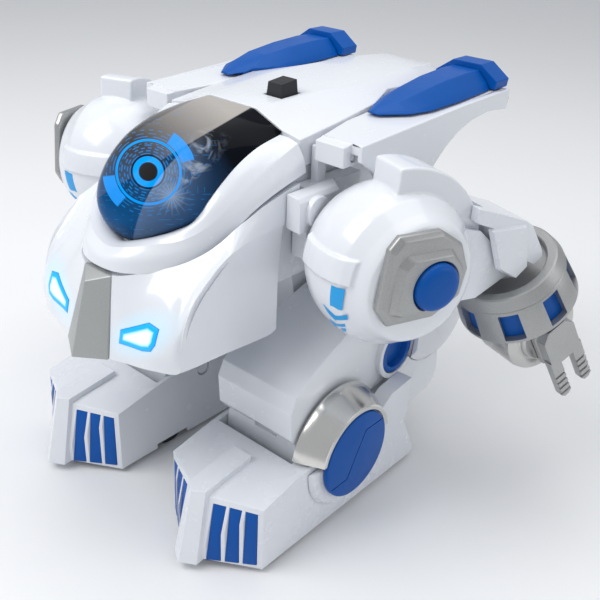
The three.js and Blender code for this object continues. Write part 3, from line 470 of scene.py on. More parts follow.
def mirror_of(o, name):
    me = o.data.copy()
    co = np.zeros(len(me.vertices) * 3, np.float32)
    me.vertices.foreach_get("co", co)
    co = co.reshape(-1, 3)
    co[:, 0] *= -1
    me.vertices.foreach_set("co", co.ravel())
    me.flip_normals()
    me.update()
    q = D.objects.new(name, me)
    bpy.context.scene.collection.objects.link(q)
    return q


def pair(o, base):
    """o is the left piece of the CAD nodes left_BASE; makes the right one as its mirror image."""
    q = mirror_of(o, "right_" + base + ".skin")
    o.name = "left_" + base + ".skin"
    for side, ob in (("left_", o), ("right_", q)):
        made.add(side + base)
        finish_piece(ob, side + base)
    return o, q


def mir(cols):
    """Columns for x >= 0, from the middle outwards, with their mirror images added."""
    left = [[(-x, y, z) for x, y, z in c] for c in reversed(cols)]
    return left + (cols[1:] if abs(cols[0][0][0]) < 1e-6 else cols)


# ---- windshield: a domed display pane
PANE = [(-113.5, 146, 10, -117.5, 143), (-106.5, 153, 24, -121.5, 148.5), (-104, 159, 30, -123, 156), (-99.5, 165, 31.5, -120.5, 165.5),
        (-92.5, 171, 32, -114, 175), (-83, 177, 32, -104, 183), (-71, 181.5, 31.5, -89, 188.8), (-56, 184, 31, -71, 191.6)]
rows = []
TT = np.linspace(-1, 1, 61)
for ey, ez, w_, cy_, cz in PANE:
    k = (1 - np.abs(TT) ** 2.8) * 1.06
    rows.append(np.stack([TT * w_, ey + (cy_ - ey) * k, ez + (cz - ez) * k], 1))
ax_ = np.abs(TT * 31)
rows.append(np.stack([TT * 31, np.full(61, -55.4), np.where(ax_ < 15, 192.2, 192.2 - (ax_ - 15) * 6.4 / 16)], 1))
g = np.array([spline([r[j] for r in rows], 6) for j in range(61)])
g[:, :, 1] = np.minimum(g[:, :, 1], -55.4)
pane = Build().grid(g).obj("windshield.skin", white)
shell_of(pane, 2.0, 0.25, 50)
made.add("windshield")

# ---- hood round the windshield
HC = [
    [(0, -117.9, 142.4), (0, -123, 144.6), (0, -128.6, 143.9), (0, -132.6, 140.6), (0, -134.2, 136.3)],
    [(9.4, -114.9, 145.2), (10, -121, 147.2), (11, -126.8, 146), (11.9, -130.4, 142), (12.4, -131.9, 136.4)],
    [(17.5, -111.4, 149), (19, -116.6, 150.6), (21, -121, 148.6), (22.6, -123.4, 143.8), (23.6, -124, 137.6)],
    [(24.8, -107, 153.4), (27, -110.8, 154), (29.6, -113.6, 150.8), (31.4, -113.8, 146), (32.4, -112, 140.8)],
    [(30.4, -103.6, 159.4), (33, -104.6, 158.8), (35.4, -104.8, 155.4), (37, -103.6, 150.6), (37.8, -101.4, 145.8)],
    [(31.9, -99, 165.4), (35.2, -98.8, 164.2), (38.2, -97.6, 160.8), (40.2, -95.8, 156.6), (41.2, -93.8, 152.8)],
    [(32.4, -92.2, 171.4), (36, -91, 169.8), (39.6, -89.2, 166.4), (42.2, -87.4, 162.6), (43.4, -85.8, 159.4)],
    [(32.4, -82.8, 177.4), (36.4, -81, 175.8), (40.6, -79, 172.8), (44, -77.2, 168.6), (45.6, -76, 165)],
    [(31.9, -70.8, 181.9), (36.6, -69, 180.8), (41.4, -67.6, 178.4), (45.2, -66.6, 173.4), (47, -66, 168.8)],
    [(31.4, -56.2, 184.4), (36.6, -56.2, 184.2), (41.9, -56.2, 183), (45.8, -56.2, 177), (47.2, -56.2, 171.2)],
]
HM = mir(HC)
hood = Build().grid(patch([c[:3] for c in HM], 8, 6)).grid(patch([c[2:] for c in HM], 8, 6)).obj("cockpit_hood.skin", white)
shell_of(hood, 2.0, 0.3, 24)
finish_piece(hood, "cockpit_hood")
made.add("cockpit_hood")

# ---- face mask: smooth front that sweeps back along the hood, flat cheeks
MA = [
    [(14.6, -142.2, 99.6), (12.9, -139.6, 110), (10.9, -136.8, 122), (9.3, -134, 134.4)],
    [(24, -139.4, 99.9), (22.6, -138, 110.5), (19.6, -135, 123.2), (15.6, -131, 136)],
    [(34, -135.4, 100.3), (32.4, -134.9, 111), (28.6, -130.6, 124.6), (21.8, -125, 137.6)],
    [(44, -129.3, 100.8), (41, -130.9, 112.4), (35.4, -125.6, 127), (26.2, -119.6, 139)],
    [(44.2, -127.9, 110.4), (42.4, -126.9, 119.4), (37.2, -119.8, 131.4), (30, -114, 140.6)],
    [(44.3, -126.2, 119.6), (42.6, -122.4, 127.2), (38.6, -113.6, 136.4), (33.4, -108.6, 143)],
    [(44.6, -121.9, 129), (43, -115.6, 134.4), (40, -108, 141), (36.4, -103.8, 146)],
    [(45, -115.6, 136), (43.7, -108.6, 140.6), (41.6, -102, 145.8), (39, -98.6, 149.8)],
    [(45.6, -104.4, 144.6), (44.8, -99.4, 147.6), (43.4, -95, 151.4), (41.4, -92.6, 154.6)],
    [(46.3, -94, 148.2), (45.8, -90.6, 150.8), (44.8, -87.2, 155), (43.4, -86, 158.2)],
    [(46.9, -83.6, 149.4), (46.6, -81.6, 152.2), (46.2, -79.6, 157.6), (45.4, -78.6, 162)],
    [(47.5, -70.4, 150.4), (47.5, -69.6, 154.4), (47.5, -69, 160.4), (47.1, -68.6, 165.6)],
    [(47.6, -60.4, 152.6), (47.6, -60.4, 156.6), (47.6, -60.4, 162), (47.6, -60.4, 167.4)],
]
SB = [
    [(44, -129.3, 100.8), (44, -129.3, 100.8), (44, -129.3, 100.8)],
    [(44.2, -127.9, 110.4), (44.3, -124, 104.8), (44.2, -120.6, 99.9)],
    [(44.3, -126.2, 119.6), (44.5, -119, 109.2), (44.2, -112, 99.4)],
    [(44.6, -121.9, 129), (44.7, -111.6, 114), (44.3, -104, 99)],
    [(45, -115.6, 136), (45.1, -103, 117.4), (44.5, -95.6, 98.2)],
    [(45.6, -104.4, 144.6), (45.5, -94, 121.6), (44.8, -87.4, 97.2)],
    [(46.3, -94, 148.2), (46, -86.2, 124), (45.2, -80, 96.6)],
    [(46.9, -83.6, 149.4), (46.5, -79.4, 125), (45.8, -75, 96.8)],
    [(47.5, -70.4, 150.4), (47, -72, 126), (46.3, -71.4, 98.4)],
]


def widen(cols):
    """Pushes the front corner of the mask out and forward; the middle and the rear edge stay."""
    out = []
    for c in cols:
        r = []
        for x, y, z in c:
            f = min(1.0, max(0.0, (x - 20.0) / 22.0)) * min(1.0, max(0.0, (-72.0 - y) / 34.0))
            f = f * f * (3 - 2 * f) * 4.6
            r.append((x + 0.729 * f, y - 0.597 * f, z + 0.337 * f))
        out.append(r)
    return out


MA, SB = widen(MA), widen(SB)
bld = Build()
ga = patch(MA, 7, 8)
bld.grid(ga)
gb = patch(SB, 7, 8)
bld.grid(gb, True)
gm = ga * np.array([-1, 1, 1])
bld.grid(gm, True)
bld.grid(gb * np.array([-1, 1, 1]))
# narrow bridge behind the keel
c0 = ga[0]
bridge = np.array([[c0[j] * np.array([1 - 2 * i / 8, 1, 1]) + np.array([0, 2.2 + (1 - abs(1 - 2 * i / 8)) * 1.2, 0]) * (1 if 0 < i < 8 else 0) for j in range(len(c0))] for i in range(9)])
bld.grid(bridge)
mask_mat = plastic("gloss_white_mask", WHITE_A, WHITE_B, 0.16, 0.24, 0.5, 0.05)
mask = bld.obj("face_mask.skin", mask_mat, merge=3e-5)
from mathutils.bvhtree import BVHTree
bmx = bmesh.new()
bmx.from_mesh(mask.data)
SKIN = BVHTree.FromBMesh(bmx)
bmx.free()
shell_of(mask, 2.2, 0.7, 30)
finish_piece(mask, "face_mask")
made.add("face_mask")

# ---- silver keel: three facets with a fine ridge
keel = Build().hull([(8.8, -134.3, 134.3), (-8.8, -134.3, 134.3), (0, -141.4, 131.3), (0, -151.2, 98), (14.2, -143, 99.2), (-14.2, -143, 99.2),
                     (8.8, -131.8, 134.3), (-8.8, -131.8, 134.3), (14.2, -140.2, 99.2), (-14.2, -140.2, 99.2)], 0.45, 3).obj("nose_keel.skin", gunmetal)
smooth_shade(keel, 30)
finish_piece(keel, "nose_keel")
made.add("nose_keel")

# ---- eyes: a lit lens with a saturated rim
EYE = [(18.3, 107.8), (18.1, 113.9), (31.6, 121.0), (37.4, 119.9), (37.6, 113.4), (35.9, 110.2), (31.4, 108.9)]


def eye(side):
    e = np.array(EYE, float)
    seg = []
    for i in range(len(e)):
        a0, a1 = e[i], e[(i + 1) % len(e)]
        m_ = max(3, int(np.linalg.norm(a1 - a0) / 0.5))
        for k in range(m_):
            seg.append(a0 + (a1 - a0) * k / m_)
    seg = np.array(seg)
    c = np.array([30.2, 114.6])

    def dist(p):
        best = 1e9
        for i in range(len(e)):
            a0, a1 = e[i], e[(i + 1) % len(e)]
            t = np.clip(np.dot(p - a0, a1 - a0) / np.dot(a1 - a0, a1 - a0), 0, 1)
            best = min(best, np.linalg.norm(p - a0 - t * (a1 - a0)))
        return best

    def surf(x, z):
        hit = SKIN.ray_cast(Vector(P(x, -190, z)), Vector((0, 1, 0)))
        return hit[0].y / MM - CY if hit[0] is not None else -133.0

    K = 16
    verts, vals, faces = [], [], []
    n = len(seg)
    for k in range(K):
        f = 1 - k / K
        for p in seg:
            q = c + (p - c) * f
            d = 0.0 if k == 0 else dist(q)
            verts.append(P(q[0], surf(q[0], q[1]) - min(0.42, 0.12 + d * 0.3), q[1]))
            vals.append(d)
    verts.append(P(c[0], surf(*c) - 0.42, c[1]))
    vals.append(dist(c))
    for k in range(K - 1):
        for i in range(n):
            faces.append((k * n + i, k * n + (i + 1) % n, (k + 1) * n + (i + 1) % n, (k + 1) * n + i))
    for i in range(n):
        faces.append(((K - 1) * n + i, (K - 1) * n + (i + 1) % n, K * n))
    b0 = len(verts)
    for p in seg:
        verts.append(P(p[0], surf(p[0], p[1]) + 1.4, p[1]))
        vals.append(0.0)
    for i in range(n):
        faces.append((i, b0 + i, b0 + (i + 1) % n, (i + 1) % n))
    faces.append(tuple(range(b0 + n - 1, b0 - 1, -1)))
    if side < 0:
        verts = [(-x, y, z) for x, y, z in verts]
    o = obj_from(("left" if side > 0 else "right") + "_eye_lens.skin", verts, faces, EYEM)
    at = o.data.attributes.new("rim", "FLOAT", "POINT")
    at.data.foreach_set("value", vals)
    clean_normals(o)
    smooth_shade(o, 40)
    nm = ("left" if side > 0 else "right") + "_eye_lens"
    finish_piece(o, nm)
    made.add(nm)


EYEM = Mat("lit_eye_lens")
rim = EYEM.node("ShaderNodeAttribute", attribute_name="rim").outputs["Fac"]
rn = EYEM.math("ADD", rim, EYEM.math("MULTIPLY", EYEM.math("SUBTRACT", EYEM.noise(300.0, 2.0), 0.5), 0.25))
ramp = EYEM.node("ShaderNodeValToRGB")
ramp.color_ramp.elements[0].position = 0.0
ramp.color_ramp.elements[0].color = (0.0, 0.13, 0.55, 1)
ramp.color_ramp.elements[1].position = 0.10
ramp.color_ramp.elements[1].color = (0.0, 0.34, 0.86, 1)
for pos, c_ in ((0.40, (0.0, 0.36, 0.88, 1)), (0.68, (0.55, 0.84, 1.0, 1)), (0.9, (1, 1, 1, 1))):
    el_ = ramp.color_ramp.elements.new(pos)
    el_.color = c_
EYEM.link(EYEM.remap(rn, 0.0, 4.4, 0, 1), ramp.inputs[0])
EYEM.col(ramp.outputs[0])
EYEM.link(ramp.outputs[0], EYEM.b.inputs["Emission Color"])
EYEM.b.inputs["Emission Strength"].default_value = 0.5
EYEM.b.inputs["Roughness"].default_value = 0.25
eye(1)
eye(-1)

# a soft cyan glow on the mask round each eye
mm_ = mask_mat
v = mm_.coord()
sep = mm_.node("ShaderNodeSeparateXYZ")
mm_.link(v, sep.inputs[0])
ax = mm_.math("ABSOLUTE", sep.outputs[0])
dx = mm_.math("DIVIDE", mm_.math("SUBTRACT", ax, 0.0290), 0.0185)
dz = mm_.math("DIVIDE", mm_.math("SUBTRACT", mm_.math("SUBTRACT", sep.outputs[2], mm_.math("MULTIPLY", ax, 0.35)), 0.1045), 0.0125)
rr = mm_.math("SQRT", mm_.math("ADD", mm_.math("MULTIPLY", dx, dx), mm_.math("MULTIPLY", dz, dz)))
front = mm_.remap(sep.outputs[1], -0.088, -0.098, 0, 1)
glow = mm_.math("MULTIPLY", mm_.remap(rr, 1.0, 0.35, 0, 1), front)
basec = mm_.b.inputs["Base Color"].links[0].from_socket
mm_.col(mm_.mix(mm_.math("MULTIPLY", glow, 0.4), basec, (0.42, 0.80, 1.0)))
mm_.b.inputs["Emission Color"].default_value = (0.25, 0.72, 1.0, 1)
mm_.link(mm_.math("MULTIPLY", glow, 0.16), mm_.b.inputs["Emission Strength"])

# ---- display print: rings, arcs and circuit lines on a black and blue ground
disp = Mat("display_glass")
v = disp.coord()
HC_P = Vector(P(9.0, -112, 175.0))
hn = Vector((0.729, -0.597, 0.337)).normalized()
hu = Vector((-hn.y, hn.x, 0)).normalized()
hv = hn.cross(hu)
rel = disp.vmath("SUBTRACT", v, tuple(HC_P))
u_ = disp.math("MULTIPLY", disp.vmath("DOT_PRODUCT", rel, tuple(hu)), 1000)
w_ = disp.math("MULTIPLY", disp.vmath("DOT_PRODUCT", rel, tuple(hv)), 1000)
rad = disp.math("SQRT", disp.math("ADD", disp.math("MULTIPLY", u_, u_), disp.math("MULTIPLY", w_, w_)))
ang = disp.math("ARCTAN2", w_, u_)


def band(x, lo, hi, soft=0.12):
    a_ = disp.remap(x, lo - soft, lo + soft, 0, 1)
    b_ = disp.remap(x, hi - soft, hi + soft, 1, 0)
    return disp.math("MULTIPLY", a_, b_)


def dashes(period, duty, shift=0.0):
    t = disp.math("FRACT", disp.math("ADD", disp.math("MULTIPLY", ang, period / (2 * math.pi)), shift))
    return disp.remap(t, duty - 0.06, duty + 0.06, 1, 0)


def total(items):
    out = items[0]
    for i_ in items[1:]:
        out = disp.math("MAXIMUM", out, i_)
    return out


def arc(a0, a1):
    return band(ang, a0, a1, 0.02)


thin = [(7.2, 7.6, 9, 0.8, 0.0), (8.3, 8.8, 17, 0.62, 0.2), (9.5, 10.0, 21, 0.55, 0.4), (10.7, 11.2, 13, 0.55, 0.1), (11.6, 11.9, 31, 0.5, 0.3),
        (14.4, 14.8, 11, 0.72, 0.3), (15.8, 16.1, 19, 0.6, 0.0), (17.4, 17.8, 29, 0.45, 0.5)]
bright = total([band(rad, 3.9, 6.3, 0.15), band(rad, 12.6, 13.6, 0.15)])
dash = total([disp.math("MULTIPLY", band(rad, a0, a1, 0.1), dashes(n_, du, sh)) for a0, a1, n_, du, sh in thin])
blocks = total([
    disp.math("MULTIPLY", band(rad, 14.0, 19.6, 0.1), arc(0.24, 0.95)),
    disp.math("MULTIPLY", band(rad, 14.0, 19.4, 0.1), arc(-3.05, -2.32)),
])
cell = disp.math("FRACT", disp.math("MULTIPLY", w_, 0.5))
cell2 = disp.math("FRACT", disp.math("MULTIPLY", u_, 0.36))
lines = disp.math("MULTIPLY", total([
    disp.math("MULTIPLY", band(cell, 0.1, 0.24, 0.05), disp.remap(disp.noise(260.0, 1.0), 0.56, 0.6, 0, 1)),
    disp.math("MULTIPLY", band(cell2, 0.1, 0.18, 0.04), disp.remap(disp.noise(200.0, 1.0), 0.62, 0.65, 0, 1)),
]), disp.math("MULTIPLY", disp.remap(rad, 18, 20, 0, 1), disp.remap(rad, 36, 25, 0, 1)))
# ground: deep blue at the lower front, black towards the rear and the lower rim
low = disp.remap(disp.math("ADD", w_, disp.math("MULTIPLY", u_, 0.55)), 6, -26, 0, 1)
blue_f = disp.math("MULTIPLY", low, disp.remap(w_, -34, -20, 0, 1), clamp=True)
haze = disp.math("MULTIPLY", disp.remap(disp.math("SQRT", disp.math("ADD", disp.math("POWER", disp.math("SUBTRACT", u_, 12.0), 2.0), disp.math("POWER", disp.math("ADD", w_, 9.0), 2.0))), 26, 4, 0, 0.75), disp.remap(w_, -30, -16, 0, 1))
ground = disp.mix(blue_f, (0.003, 0.004, 0.007), (0.0, 0.070, 0.215))
ground = disp.mix(haze, ground, (0.025, 0.085, 0.21))
# painted reflection: a grey slanting band across the upper part and its rounded lower edge
s1 = disp.math("SUBTRACT", w_, disp.math("MULTIPLY", u_, 0.56))
cx_ = disp.math("SUBTRACT", u_, 57.5)
cy_n = disp.math("ADD", w_, 43.1)
rc = disp.math("SQRT", disp.math("ADD", disp.math("MULTIPLY", cx_, cx_), disp.math("MULTIPLY", cy_n, cy_n)))
reflection_disc = disp.remap(rc, 66.6, 67.1, 1, 0)
above = disp.math("MULTIPLY", disp.remap(s1, 1.2, 1.8, 0, 1), disp.math("SUBTRACT", 1.0, reflection_disc))
reflection_band = disp.math("MULTIPLY", above, disp.remap(s1, 19.6, 20.2, 1.0, 0.62))
along = disp.remap(disp.math("ADD", u_, disp.math("MULTIPLY", w_, 0.9)), 8, 58, 0.10, 1.0)
sheen = disp.math("MULTIPLY", reflection_band, along)
ground = disp.mix(sheen, ground, (0.40, 0.375, 0.35))
# painted reflection: a lighter blue-grey wedge inside the rounded edge
reflection_wedge = disp.math("MULTIPLY", reflection_disc, disp.remap(disp.math("SUBTRACT", rc, 44.0), 0, 23, 0.0, 0.20))
reflection_wedge = disp.math("MULTIPLY", reflection_wedge, disp.remap(u_, 27, 14, 0.0, 1.0))
ground = disp.mix(reflection_wedge, ground, (0.42, 0.50, 0.62))
wis = disp.node("ShaderNodeTexNoise")
wis.inputs["Scale"].default_value = 62.0
wis.inputs["Detail"].default_value = 6.0
wis.inputs["Distortion"].default_value = 3.0
disp.link(v, wis.inputs["Vector"])
wd = disp.math("SUBTRACT", disp.math("MULTIPLY", u_, 0.80), disp.math("MULTIPLY", w_, 0.55))
wc = disp.math("ADD", disp.math("MULTIPLY", u_, 0.55), disp.math("MULTIPLY", w_, 0.80))
wf = disp.math("MULTIPLY", disp.remap(wis.outputs["Fac"], 0.50, 0.70, 0, 0.85), disp.math("MULTIPLY", band(wd, 10.0, 18.0, 3.5), band(wc, 3.0, 26.0, 5.0)))
ground = disp.mix(wf, ground, (0.50, 0.56, 0.66))
# fine rays near the lower right of the rings
ru, rw = disp.math("SUBTRACT", u_, 9.0), disp.math("ADD", w_, 10.0)
rr_ = disp.math("SQRT", disp.math("ADD", disp.math("MULTIPLY", ru, ru), disp.math("MULTIPLY", rw, rw)))
ra = disp.math("ABSOLUTE", disp.math("SINE", disp.math("MULTIPLY", disp.math("ARCTAN2", rw, ru), 9.0)))
rays = disp.math("MULTIPLY", disp.math("POWER", ra, 14.0), disp.remap(rr_, 9, 1, 0, 0.28))
glow_ = disp.remap(rr_, 6.0, 0.5, 0.0, 0.35)
ground = disp.mix(disp.math("ADD", rays, glow_, clamp=True), ground, (0.55, 0.66, 0.80))
c1 = disp.mix(disp.math("MULTIPLY", lines, 0.4), ground, (0.0, 0.23, 0.62))
c1 = disp.mix(disp.math("MULTIPLY", dash, 0.62), c1, (0.01, 0.22, 0.60))
c2 = disp.mix(disp.math("MULTIPLY", blocks, 0.85), c1, (0.015, 0.24, 0.70))
c3 = disp.mix(bright, c2, (0.0, 0.245, 0.74))
c3 = disp.mix(band(rad, -1.0, 3.7, 0.2), c3, (0.001, 0.001, 0.002))
c3 = disp.mix(band(rad, 6.4, 7.0, 0.2), c3, (0.001, 0.004, 0.012))
# painted reflection: a blue-grey tint inside the rounded edge lies over the print as well
c3 = disp.mix(disp.math("MULTIPLY", reflection_disc, disp.remap(rad, 16, 4, 0.0, 0.42)), c3, (0.30, 0.36, 0.45))
disp.col(c3)
# painted glow: the pane emits its own colour, faintly everywhere and most on the bright rings, blocks, dashes and
# lines, though it is no lamp
disp.link(c3, disp.b.inputs["Emission Color"])
disp.link(disp.remap(total([bright, blocks, disp.math("MULTIPLY", dash, 0.5), disp.math("MULTIPLY", lines, 0.4)]), 0, 1, 0.05, 0.42), disp.b.inputs["Emission Strength"])
disp.rough(disp.remap(disp.noise(60.0), 0.3, 0.7, 0.06, 0.10))
disp.b.inputs["Specular IOR Level"].default_value = 0.05
disp.b.inputs["Coat Weight"].default_value = 0.0
disp.b.inputs["Coat Roughness"].default_value = 0.04
pane.data.materials.clear()
pane.data.materials.append(disp.m)
finish_piece(pane, "windshield")

# ------------------------------------------------------------------ arms
YAW = math.radians(20)
SH = Vector((89, -48.9, 140.6))
ARM = Matrix.Translation(SH) @ Matrix.Rotation(-YAW, 4, "Z")
XAX = ARM @ Matrix.Rotation(math.radians(90), 4, "Y")          # lathe axis along the arm's X
FA = math.atan2(0.515, 0.857)
FORE = ARM @ Matrix.Translation(Vector((0, 67, -13))) @ Matrix.Rotation(FA, 4, "X")


def armf(u, v_, w__):
    return tuple(ARM @ Vector((w__, u, v_)))


R = 35.7
prof = [(0, -22)]
prof += [(26.2, -22), (math.sqrt(R * R - 22 ** 2), -22)]
for i in range(1, 21):
    x = -22 + i * (33.0 / 20)
    prof.append((math.sqrt(R * R - x * x), x))
prof += [(33.5, 12.4), (33.2, 13.3), (29.2, 18.9), (28.6, 19.9), (27.0, 22.6), (25.8, 24.2), (23.6, 25.2), (20, 25.6), (0, 25.6)]
ball = Build().lathe(prof, XAX, 128)
arc_o = []
for i in range(29):
    a_ = math.radians(93 - i * 3.45)
    arc_o.append((math.cos(a_) * 44.4 - 2, math.sin(a_) * 45.2))
ball.prism(arc_o + [(34, 4), (20, 20), (0, 30), (-5.2, 33.8)], -9.6, 9.6, armf, 1.4, 3)
ball = ball.obj("ball", white)
bb = Build().lathe([(0, -16), (30, -16), (34.6, -13.6), (36.3, -10.4), (37.2, -5), (37.5, 0), (37.1, 6), (35.6, 11.6), (33.8, 15.2), (31, 18.6), (0, 18.6)], XAX, 128).obj("belt", white)
bx = Build().hull([(x, y, z) for x in (-22, 30) for y in (-60, -12) for z in (2.6, 13.2)], 1.2, 2, ARM).obj("bx", white)
mod_bool(bb, bx, "INTERSECT")
mod_bool(ball, bb, "UNION")
# the arm seat
seat = Build().hull([(x, y, z) for x in (-13.4, 15) for y in (22, 60) for z in (-24, 21)], 1.0, 2, ARM).obj("seat", white)
mod_bool(ball, seat)
core_ = Build().lathe([(0, -23), (26.0, -23), (30.4, -12), (31.6, 0), (28, 12), (20, 20), (0, 20)], XAX, 64).obj("core", white)
mod_bool(ball, core_)
fuse(ball, 0.5, 2, 1.0)
shield = plastic("gloss_white_shoulder", WHITE_A, WHITE_B, 0.18, 0.27, 0.45, 0.05)
ball.data.materials.clear()
ball.data.materials.append(shield.m)
pair(ball, "shoulder_shell")

# silver cap with its raised frame
CAPO = [(-16, 26), (-20.5, 21), (-24, -5), (-18.5, -13), (4, -13.5), (17, -6), (19.5, 6), (15, 18), (4, 25.5)]
cap = Build().hull([(25.9, y, z) for y, z in CAPO] + [(28.6, y, z) for y, z in CAPO] + [(30.4, y * 0.9, (z - 5) * 0.9 + 5) for y, z in CAPO], 0.7, 3, ARM)
cap = cap.obj("cap", silver)
ridge = Build().hull([(29.5, -14, 18.5), (29.5, -17.5, 15), (29.5, -20, -7), (29.5, -14, -9.5), (29.5, 8, -8), (29.5, 15, -2), (29.5, 16, 8), (29.5, 9, 18),
                      (33, -11, 16), (33, -14, 13), (33, -17, -5.5), (33, -13, -7.5), (33, 7, -6.5), (33, 13, -1), (33, 14, 8), (33, 8, 15.5)], 0.8, 3, ARM).obj("ridge", silver)
mod_bool(cap, ridge, "UNION")
hole = Build().lathe([(0, 26.6), (10.85, 26.6), (10.85, 32.4), (11.6, 33.2), (12.4, 40), (0, 40)], XAX @ Matrix.Translation(Vector((-3, 1, 0))), 96).obj("hole", silver)
mod_bool(cap, hole)
smooth_shade(cap, 28)
pair(cap, "shoulder_cap")
BUT = XAX @ Matrix.Translation(Vector((-3, 1, 0)))
bt = Build().lathe([(0, 27), (10.2, 27), (10.45, 27.6), (10.45, 33.2), (10.1, 34.4), (9.2, 35.4), (7.9, 36), (6.4, 36.25), (0, 36.55)], BUT, 96).obj("button", blue)
smooth_shade(bt, 35)
pair(bt, "shoulder_button")

# forearm drum
DH, RT, RB = 26.2, 26.7, 29.3
drum = Build().lathe([(7.4, -4.6), (19.4, -4.6), (19.9, -4.2), (20.3, -0.5), (20.8, 0), (24.4, 0), (25.2, -0.5), (27.1, -5.4), (27.3, -6.1), (27.0, -7.0), (27.35, -7.6),
                      (29.2, -24.6), (29.3, -25.6), (28.9, -26.2), (26.3, -26.2), (24.4, -8.8), (7.4, -8.8)], FORE, 128, closed=True).obj("drum", silver)
wins = Build()
for i in range(8):
    M_ = FORE @ Matrix.Rotation(i * math.pi / 4 + 0.05, 4, "Z")
    wins.hull([(x * (1 + 0.06 * (z < -15)), y, z) for x in (-4.7, 4.7) for y in (-23, -34) for z in (-8.6, -24.2)], 0.5, 2, M_)
mod_bool(drum, wins.obj("wins", silver, merge=0))
smooth_shade(drum, 30)
pair(drum, "forearm_drum")
lin = Build().lathe([(20.4, -9.5), (24.35, -9.5), (26.0, -25.0), (22.4, -25.0)], FORE, 96, closed=True).obj("liner", blue)
smooth_shade(lin, 30)
pair(lin, "drum_liner")
WZ = -DH - 18
WX = FORE @ Matrix.Translation(Vector((0, 0, WZ))) @ Matrix.Rotation(math.radians(90), 4, "Y")
wr = Build().lathe([(0, -16.4), (12.4, -16.4), (13.6, -15.6), (14, -13.4), (20, -13), (21.2, -12), (21.6, -10.6), (21.6, -2.2), (21.1, -1.7), (21.1, -0.9), (21.6, -0.4), (21.6, 9), (21, 10.8), (19.6, 11.6),
                    (15.4, 11.9), (14.6, 12.6), (14.2, 14), (13.4, 14.8), (3.6, 14.8), (3.6, 8), (0, 8)], WX, 128).obj("wrist", chrome)
topc = Build().hull([(x, y, z) for x in (-40, 40) for y in (-40, 40) for z in (-9.4, 40)], 0, 1, FORE).obj("topc", silver)
mod_bool(wr, topc)
smooth_shade(wr, 30)
wr.data.materials.clear()
wrist_m = metal("wrist_satin_metal", (0.56, 0.555, 0.54), (0.50, 0.495, 0.48), 0.24, 0.32, 0.9, 0.1)
wr.data.materials.append(wrist_m.m)
pair(wr, "wrist")

# ------------------------------------------------------------------ feet and ankles
FX = 50.9
AX = Matrix.Translation(Vector((0, -55.5, 38.8))) @ Matrix.Rotation(math.radians(90), 4, "Y")
disc = Build().lathe([(0, 84.6), (22.3, 84.6), (22.6, 85), (22.6, 86.6), (22.35, 87.1), (21.8, 87.3), (0, 87.3)], AX, 128).obj("disc", blue)


def zz(u, v_, w__):
    return (w__, u, v_)


# stepped seam across the disc
seam = [(-74, 27.6), (-62.6, 27.6), (-50, 50.4), (-36, 50.4)]
off = []
for k_, (y, z) in enumerate(seam):
    d0 = Vector((seam[min(k_ + 1, 3)][0] - seam[max(k_ - 1, 0)][0], seam[min(k_ + 1, 3)][1] - seam[max(k_ - 1, 0)][1])).normalized()
    off.append((y, z, -d0.y * 0.34, d0.x * 0.34))
line = [(y + a_, z + b_) for y, z, a_, b_ in off] + [(y - a_, z - b_) for y, z, a_, b_ in reversed(off)]
grv = Build().prism(line, 86.75, 89, zz).obj("grv", blue)
mod_bool(disc, grv)
smooth_shade(disc, 30)
pair(disc, "ankle_disc")

ring = Build().lathe([(23.1, 86.5), (23.5, 86.9), (25.1, 86.9), (25.8, 86.5), (26.3, 85.2), (30.8, 76.9), (31.1, 76.2), (32, 73), (32, 72.6), (31.7, 72.3), (23.1, 72.3)], AX, 160, closed=True).obj("ring", chrome)
cutr = Build().hull([(70, -110, 44.2), (70, 0, 48.8), (70, -110, -20), (70, 0, -20), (92, -110, 42.4), (92, 0, 42.4), (92, -110, -20), (92, 0, -20)]).obj("cutr", chrome)
mod_bool(ring, cutr)
cutr = Build().hull([(x, y, z) for x in (70, 81.6) for y in (-34, 10) for z in (30, 60)]).obj("cutr", chrome)
mod_bool(ring, cutr)
smooth_shade(ring, 25)
pair(ring, "ankle_ring")

# blue toe panels: three slanted bars a side, backed by one V strip
FN, FF, FW, SZ = -138.4, -114.3, 30.0, 2.2


def toe_y(d, z):
    nose = FN + 3 + 8 * (z - SZ) / (37.6 - SZ)
    return nose + (FF - nose) * d / FW


toe = Build()
for f_ in (-1, 1):
    for a0, a1 in ((8.4, 14.1), (15.6, 21.0), (22.5, 27.8)):
        toe.hull([(FX + f_ * d, toe_y(d, z) + dy, z) for d in (a0 + 0.12, a1 - 0.12) for z in (4.72, 34.88) for dy in (-0.5, 4.6)], 0.2, 2)
    toe.hull([(FX + f_ * d, toe_y(d, z) + dy, z) for d in (0, 26.4) for z in (5.4, 34.0) for dy in (4.4, 6.6)])
toe = toe.obj("toe", blue)
smooth_shade(toe, 30)
pair(toe, "toe_insert")


